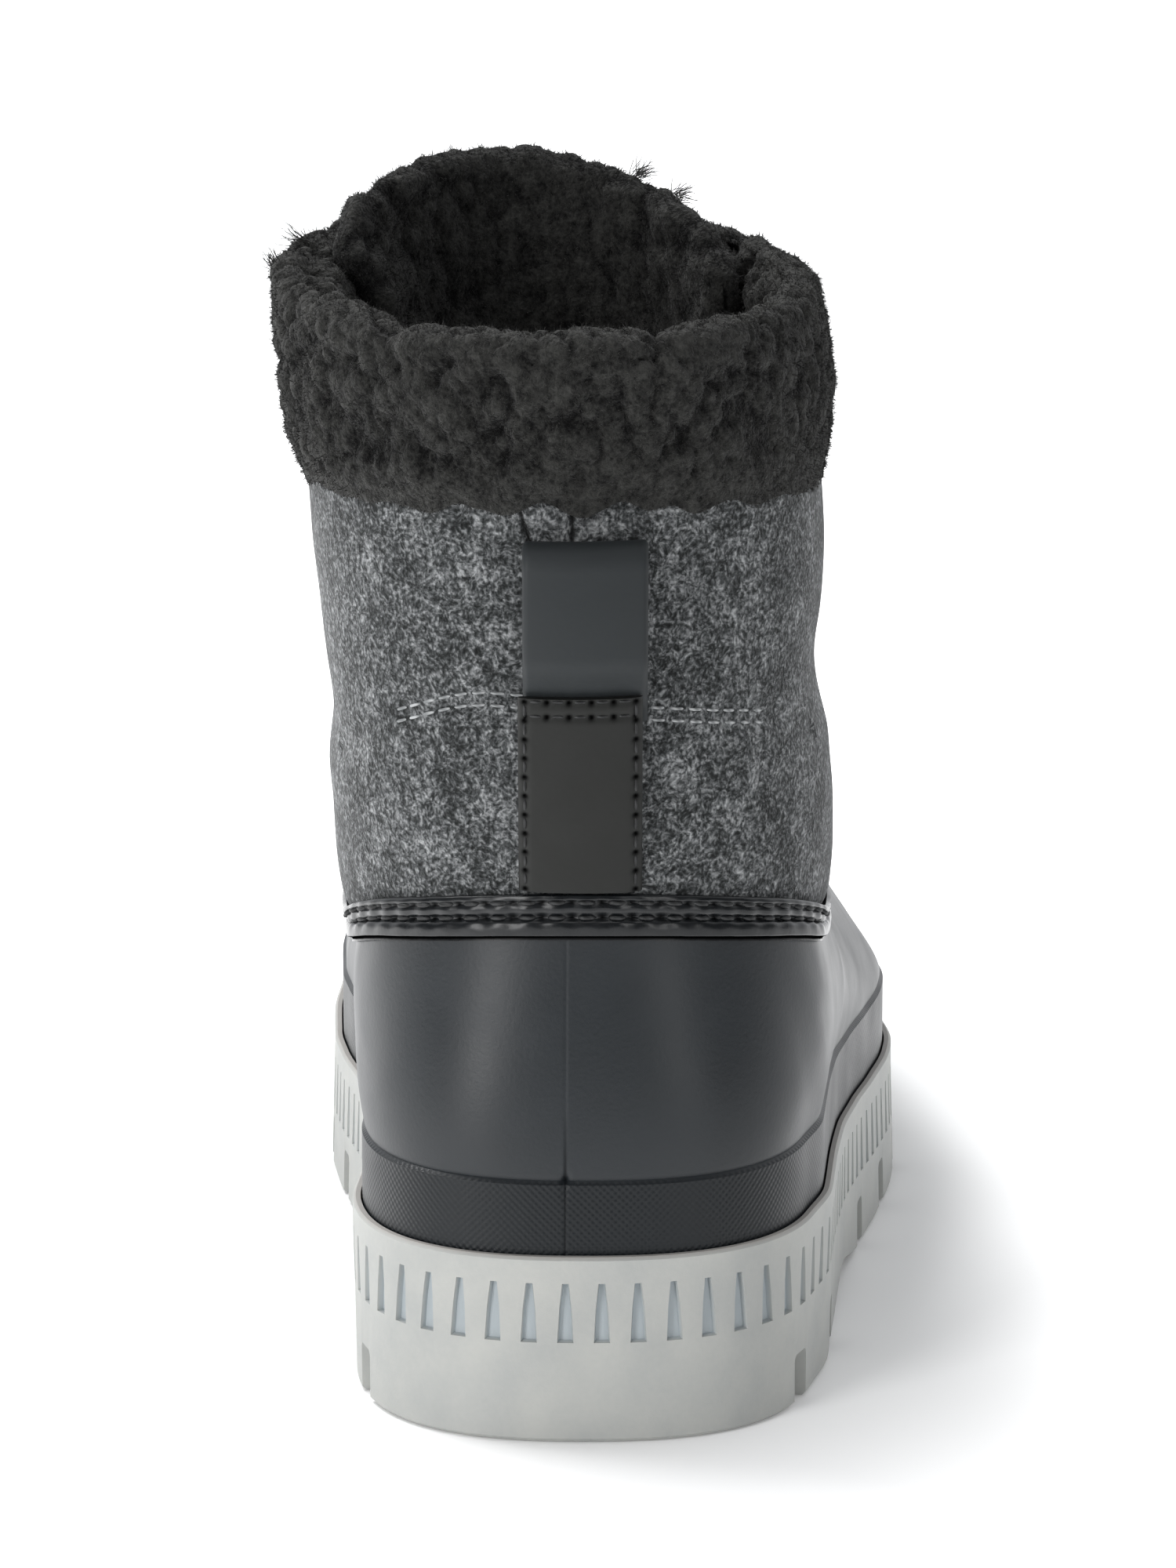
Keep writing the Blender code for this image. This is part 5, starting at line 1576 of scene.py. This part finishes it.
near_edge = np.minimum(np.minimum(1 - np.abs(side), 0.35) / 0.05, np.minimum((1 - rise) / 0.035, 1))
thin = np.sqrt(np.clip(near_edge, 0.02, 1) * (2 - np.clip(near_edge, 0.02, 1)))
face = -FELT_WALL - CUFF_LINING - 2 * GAP
flare = TONGUE_FLARE * np.clip((tongue_height - FLARE_FROM) / 8, 0, 1) * np.clip(side, 0, 1) ** 2
middle_face = face - TONGUE_PAD / 2 + flare
tongue_front = shaft_point(tongue_angle, tongue_height, middle_face + thin * TONGUE_PAD / 2)
tongue_back = shaft_point(tongue_angle, tongue_height, middle_face - thin * TONGUE_PAD / 2)
tongue_sections = np.concatenate([tongue_front, tongue_back[::-1]]).transpose(1, 0, 2)
tongue_rows = np.concatenate([rise[:, 0], rise[::-1, 0]])
FLEECE_FROM = 0.72  # of the tongue's height, where the fleece turns over to the front
is_fleece = np.concatenate([rise[:, 0] > FLEECE_FROM, np.ones(len(rise), bool)])
TONGUE_CURL = 0.75  # of the cuff's curls
tongue_curl = np.where(is_fleece, np.clip(tongue_rows * 8, 0, TONGUE_CURL), 0.0)
tongue, tongue_pile = fleece_piece("tongue_padded", tongue_sections, tongue_curl, "tongue")
tongue.data.materials.append(felt)
felt_faces = np.broadcast_to(~is_fleece, (len(side) - 1, len(is_fleece)))
finish_of = np.append(np.ravel(felt_faces), [False, False]).astype(np.int32)
tongue.data.polygons.foreach_set("material_index", finish_of)
SEEN_FROM = 0.45  # of its height: the rest is down in the boot
tongue_shown = np.broadcast_to(is_fleece & (tongue_rows > SEEN_FROM), felt_faces.shape)
dress(fibres("tongue_fibres", tongue, 4.0, tongue_shown), fleece, "black_fleece")

# %% Stray locks
LOCKS = table(  # roots, directions to the side and up, and lengths of locks that stand off the pile
    "x y z sideways up length",
    (-45.5, 60, 183.5, -0.8, 0.6, 6.0),
    (-49.0, 55, 180.5, -0.5, 0.85, 3.6),
    (9.0, 85, 192.5, 0.75, 0.65, 5.0),
    (15.7, 83, 188.7, 0.95, 0.25, 4.2),
)
LOCK_FIBRES = 60
all_pile = np.concatenate([cuff_pile.reshape(-1, 3), tongue_pile.reshape(-1, 3)])
roots, ways, reaches = [], [], []
for x, y, z, sideways, up, length in rows_of(LOCKS):
    nearest = all_pile[np.argmin(np.linalg.norm(all_pile - [x, y, z], axis=1))]
    roots.append(nearest + 0.5 * rng.normal(size=(LOCK_FIBRES, 3)))
    ways.append(unit(np.array([sideways, 0.0, up]) + 0.35 * rng.normal(size=(LOCK_FIBRES, 3))))
    reaches.append(length * rng.uniform(0.4, 1.1, (LOCK_FIBRES, 1)))
root, way, reach = (np.concatenate(parts) for parts in (roots, ways, reaches))
bend = unit(way + 0.5 * rng.normal(size=way.shape))
middle = root + way * reach * 0.6
side = unit(np.cross(way, rng.normal(size=way.shape))) * FIBRE_WIDTH / 2
# Stray locks get the palest tone of the painted curl shade.
stray = blades("stray_locks", root, middle, middle + bend * reach * 0.5, side, np.ones(len(root)))
dress(stray, fleece, "black_fleece")

# %% [markdown]
# ## Lining and insole
# Inside, the same fleece lines felt and rubber down to the footbed. Only its rim and the footbed show, from
# above, so it is a plain thin wall with smaller curls and no loose fibres.

# %% Lining of the shaft
LINING_THICK = 1.8
LINING_CURL = 0.45  # of the cuff's curls
LINING_ROWS, HIDDEN_ROWS = 60, 8  # few do on the side that faces the felt
lining_ring = np.linspace(-throat, throat, 200)
low = seam_height(lining_ring) - 2
high = collar_height(lining_ring) - CUFF_HANG - 0.6
lining_height = low + np.linspace(0, 1, LINING_ROWS)[:, None] * (high - low)
lining_angle = np.broadcast_to(lining_ring, lining_height.shape)
lining_out = np.full((LINING_ROWS, 1), -FELT_WALL - GAP)
hidden = np.linspace(0, LINING_ROWS - 1, HIDDEN_ROWS).round().astype(int)
lining_sections = np.concatenate(
    [
        shaft_point(lining_angle[hidden], lining_height[hidden], lining_out[hidden]),
        shaft_point(lining_angle[::-1], lining_height[::-1], lining_out - LINING_THICK),
    ]
).transpose(1, 0, 2)
inner_side = np.concatenate([np.zeros(HIDDEN_ROWS), np.ones(LINING_ROWS)])
fleece_piece("shaft_lining", lining_sections, LINING_CURL * inner_side)

# %% Lining of the foot
foot_ring = np.radians(np.arange(0, 360, 1.5)) + 1e-4
insole_top = smooth(SOLE, "floor", LENGTH * share_along(foot_ring)) + GAP + INSOLE_THICKNESS
foot_outer = shell_surface(foot_ring, np.linspace(0, 1, 40))
foot_normals = ring_normals(foot_outer)
foot_edge = sole_outline(foot_ring, RIM_WALL + GAP + FOXING_STEP)
foot_low = points(foot_edge[:, 0], foot_edge[:, 1], insole_top + 0.6)
level = unit(foot_normals[0] * [1, 1, 0])
foot_outer = np.concatenate([[foot_low], foot_outer[:-1]])
foot_normals = np.concatenate([[level], foot_normals[:-1]])
foot_normals[1] = level
near_wall = foot_outer - (SHELL_WALL + GAP) * foot_normals
far_wall = foot_outer - (SHELL_WALL + GAP + LINING_THICK) * foot_normals
foot_sections = np.concatenate([near_wall, far_wall[::-1]]).transpose(1, 0, 2)
inner_side = np.concatenate([np.zeros(len(near_wall)), np.ones(len(far_wall))])
fleece_piece("foot_lining", foot_sections, LINING_CURL * inner_side, ring=True)

# %% Fleece footbed
BED_ROWS, BED_CURL = 30, 0.4
SPINE_BACK, SPINE_FRONT = 34.0, 45.0  # its middle line stops so far from the heel and the toe
CROWN_DIP = 1.2  # the heel and ball press the middle of the footbed down
outline = sole_outline(foot_ring, INSOLE_INSET)
spine_y = np.clip(outline[:, 1], SPINE_BACK, LENGTH - SPINE_FRONT)
spine = np.stack([smooth(SOLE, "middle", spine_y), spine_y], axis=-1)
shares = np.concatenate([[0.0, 0.0], np.linspace(0.02, 1, BED_ROWS)])
bed = [points(*(outline + share * (spine - outline)).T, insole_top) for share in shares]
bed[0][:, 2] -= INSOLE_THICKNESS
for row, share in zip(bed[2:], shares[2:]):
    row[:, 2] -= CROWN_DIP * share
bed_sections = np.array(bed).transpose(1, 0, 2)
bed_raised = np.concatenate([[0.0, 0.0], np.full(BED_ROWS - 1, BED_CURL), [0.0]])
footbed = fleece_piece("insole_fleece", bed_sections, bed_raised, "insole", ring=True)[0]

# %% [markdown]
# ## Lacing
# The front can't be seen in the photo, so it is finished plainly: a facing on each side of the throat, four
# pairs of metal eyelets, and a round lace criss-crossed between them, its ends inside the top eyelets.

# %% Facings and their stitches
EYESTAY_ANGLE, EYESTAY_CLEAR, EYESTAY_SKIN, EYESTAY_HEAD = 126, 0.8, 1.3, 148.0
EYESTAY_EDGE = 0.12  # share of its width that its edges round off
EYESTAY_COLUMNS, EYESTAY_ROWS = 25, 60
EYESTAY_SEWN = (0.14, 0.86)  # the two stitch rows, in shares of its width
for name, mirror in (("eyestay_lateral", 1), ("eyestay_medial", -1)):
    share = np.linspace(0, 1, EYESTAY_COLUMNS)
    turn = np.radians(EYESTAY_ANGLE + share * (THROAT_ANGLE - EYESTAY_ANGLE)) * mirror
    foot = seam_height(turn) + BAND_ABOVE + 1.6
    height = foot + np.linspace(0, 1, EYESTAY_ROWS)[:, None] * (EYESTAY_HEAD - foot)
    edge = np.clip(np.minimum(share, 1 - share) / EYESTAY_EDGE, 0, 1)
    skin = EYESTAY_SKIN * (0.4 + 0.6 * np.sqrt(edge * (2 - edge)))
    turn = np.broadcast_to(turn, height.shape)
    front = shaft_point(turn, height, EYESTAY_CLEAR + skin)
    back = shaft_point(turn, height, np.full(EYESTAY_COLUMNS, EYESTAY_CLEAR))
    facing = loft(f"{name}_facing", np.concatenate([front, back[:, ::-1]], axis=1), sharp=50)
    dress(facing, strap_leatherette, "black_leatherette", name)
    rows = []
    for place in EYESTAY_SEWN:
        angle = math.radians(EYESTAY_ANGLE + place * (THROAT_ANGLE - EYESTAY_ANGLE)) * mirror
        line_height = np.linspace(seam_height(angle) + BAND_ABOVE + 3, EYESTAY_HEAD - 2, EYESTAY_ROWS)
        line, outer = (
            shaft_point(angle, line_height, np.full(EYESTAY_ROWS, EYESTAY_CLEAR + EYESTAY_SKIN + lift))
            for lift in (-0.1, 1)
        )
        rows.append((line, outer - line))
    facing_thread = stitches(f"{name}_stitches", rows, pitch=3.4, length=2.5, radius=0.32)
    dress(facing_thread, black_thread, "black_leatherette")

# %% Blackened brass
# Lacquered brass rings: a smooth dark metal with a narrow glint, worn in small patches.
black_metal, tree, shader, where = new_material("blackened_brass", Metallic=1.0, Roughness=0.34)
WEAR_MM = 1.5
wear = node(tree, "ShaderNodeTexNoise", {"Vector": where, "Scale": 1 / (WEAR_MM * MM), "Detail": 4.0})
metal_tone = node(
    tree,
    "ShaderNodeMix",
    {"Factor": wear.outputs["Fac"], "A": linear("#2B2B2D"), "B": linear("#47464A")},
    data_type="RGBA",
)
tree.links.new(metal_tone.outputs["Result"], shader.inputs["Base Color"])

# %% Eyelet rings
EYELET_ANGLE, EYELET_HEIGHTS = 139, (103.0, 116.0, 129.0, 142.0)
EYELET_HOLE, EYELET_RADIUS, EYELET_HEIGHT = 2.6, 4.6, 1.5
EYELET_SEAT = EYESTAY_CLEAR + EYESTAY_SKIN + 0.7


def eyelet_frame(angle, height):
    """Centre of an eyelet's underside and its axis, side and up directions."""
    centre = shaft_point(angle, height, EYELET_SEAT)
    axis = unit(shaft_point(angle, height, EYELET_SEAT + 1.0) - centre)
    side = unit(np.cross([0, 0, 1], axis))
    return centre, axis, side, np.cross(axis, side)


ring_middle, ring_half = (EYELET_HOLE + EYELET_RADIUS) / 2, (EYELET_RADIUS - EYELET_HOLE) / 2
bead = full_turn(16)
bead_radius = ring_middle + ring_half * np.cos(bead)
bead_height = EYELET_HEIGHT * (0.35 + np.where(np.sin(bead) > 0, 0.65, 0.35) * np.sin(bead))
for name, mirror in (("lateral", 1), ("medial", -1)):
    for i, height in enumerate(EYELET_HEIGHTS):
        centre, axis, side, up = eyelet_frame(math.radians(mirror * EYELET_ANGLE), height)
        turn = full_turn(40)[:, None, None]
        spoke = side * np.cos(turn) + up * np.sin(turn)
        ring_sections = centre + spoke * bead_radius[None, :, None] + axis * bead_height[None, :, None]
        ring_piece = loft(f"eyelet_{name}_{i + 1}_ring", ring_sections, ring=True, sharp=60)
        dress(ring_piece, black_metal, "black_metal", f"eyelet_{name}_{i + 1}")

# %% Braided cord
# Round braided polyester shows crossing strands about a millimetre wide, with a dry, fibrous surface.
cord, tree, shader, where = new_material("braided_polyester_cord", Roughness=0.8, IOR=1.5)
BRAID_MM = 1.7
cord_along = node(tree, "ShaderNodeAttribute", attribute_name="along_mm")
cord_round = node(tree, "ShaderNodeAttribute", attribute_name="turn")
strands = []
for hand in (1, -1):
    lean_round = node(
        tree, "ShaderNodeMath", {0: cord_round.outputs["Fac"], 1: 4.0 * hand}, operation="MULTIPLY"
    )
    phase = node(
        tree,
        "ShaderNodeMath",
        {0: cord_along.outputs["Fac"], 1: 2 * math.pi / BRAID_MM / 2, 2: lean_round.outputs["Value"]},
        operation="MULTIPLY_ADD",
    )
    strands.append(node(tree, "ShaderNodeMath", {0: phase.outputs["Value"]}, operation="SINE"))
braid = node(
    tree,
    "ShaderNodeMath",
    {0: strands[0].outputs["Value"], 1: strands[1].outputs["Value"]},
    operation="MAXIMUM",
)
braid_tone = node(
    tree,
    "ShaderNodeMix",
    {"Factor": braid.outputs["Value"], "A": linear("#0E0E0F"), "B": linear("#2A2A2B")},
    data_type="RGBA",
)
tree.links.new(braid_tone.outputs["Result"], shader.inputs["Base Color"])
braid_bump = node(
    tree, "ShaderNodeBump", {"Height": braid.outputs["Value"], "Strength": 0.6, "Distance": 0.0003}
)
tree.links.new(braid_bump.outputs["Normal"], shader.inputs["Normal"])

# %% Lace through the eyelets
LACE_RADIUS, LACE_SAG, LACE_DIVE = 1.7, 5.0, 2.4
DIVE_SHARE = 0.06  # of a run's length, at both ends
LACE_OVER = 1.2  # the run on top of a crossing goes up by this, the other down
OVER_EYELET = EYELET_SEAT + EYELET_HEIGHT + LACE_RADIUS


def lace_path(start, end, over):
    """Line of a lace from inside one eyelet, over the throat, into another. over lifts its middle."""
    t = np.linspace(0, 1, 60)
    angle = start[0] + t * (end[0] - start[0])
    height = start[1] + t * (end[1] - start[1])
    inside = np.clip(1 - np.abs(np.degrees(angle) - 180) / (180 - THROAT_ANGLE), 0, 1)
    from_end = np.minimum(t, 1 - t)
    dive = (OVER_EYELET - EYELET_SEAT + LACE_DIVE) * np.clip(1 - from_end / DIVE_SHARE, 0, 1) ** 2
    out = OVER_EYELET - LACE_SAG * np.minimum(1, 1.6 * inside) ** 1.5 - dive
    return shaft_point(angle, height, out + over * np.sin(math.pi * t) ** 6)


right, left = math.radians(EYELET_ANGLE), math.radians(360 - EYELET_ANGLE)
runs = [lace_path((right, EYELET_HEIGHTS[0]), (left, EYELET_HEIGHTS[0]), 0.0)]
for low_eye, high_eye in zip(EYELET_HEIGHTS, EYELET_HEIGHTS[1:]):
    runs.append(lace_path((right, low_eye), (left, high_eye), LACE_OVER))
    runs.append(lace_path((left, low_eye), (right, high_eye), -LACE_OVER))
girth_turn = full_turn(14)
for i, path in enumerate(runs):
    forward = unit(np.gradient(path, axis=0))
    side = unit(np.cross(forward, [0, 0, 1]))
    up = np.cross(side, forward)
    tube = path[:, None] + LACE_RADIUS * (
        side[:, None] * np.cos(girth_turn)[None, :, None] + up[:, None] * np.sin(girth_turn)[None, :, None]
    )
    walked = walked_along(path)
    cord_marks = {
        "along_mm": np.broadcast_to(walked[:, None], tube.shape[:2]),
        "turn": np.broadcast_to(girth_turn, tube.shape[:2]),
    }
    run = loft(f"lace_run_{i}", tube, marks=cord_marks, sharp=180)
    dress(run, cord, "black_cord", "lace")

# %% [markdown]
# ## Sizes and finish
# The dressed boot has to stay about as large as its solids, so both boxes are written down and compared.

# %% Boxes of the solids and of the dressed boot
new_low, new_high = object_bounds()
growth = [round(1000 * (b - a), 1) for a, b in zip(cad_high - cad_low, new_high - new_low)]
print("the dressed boot is larger by", growth, "mm")
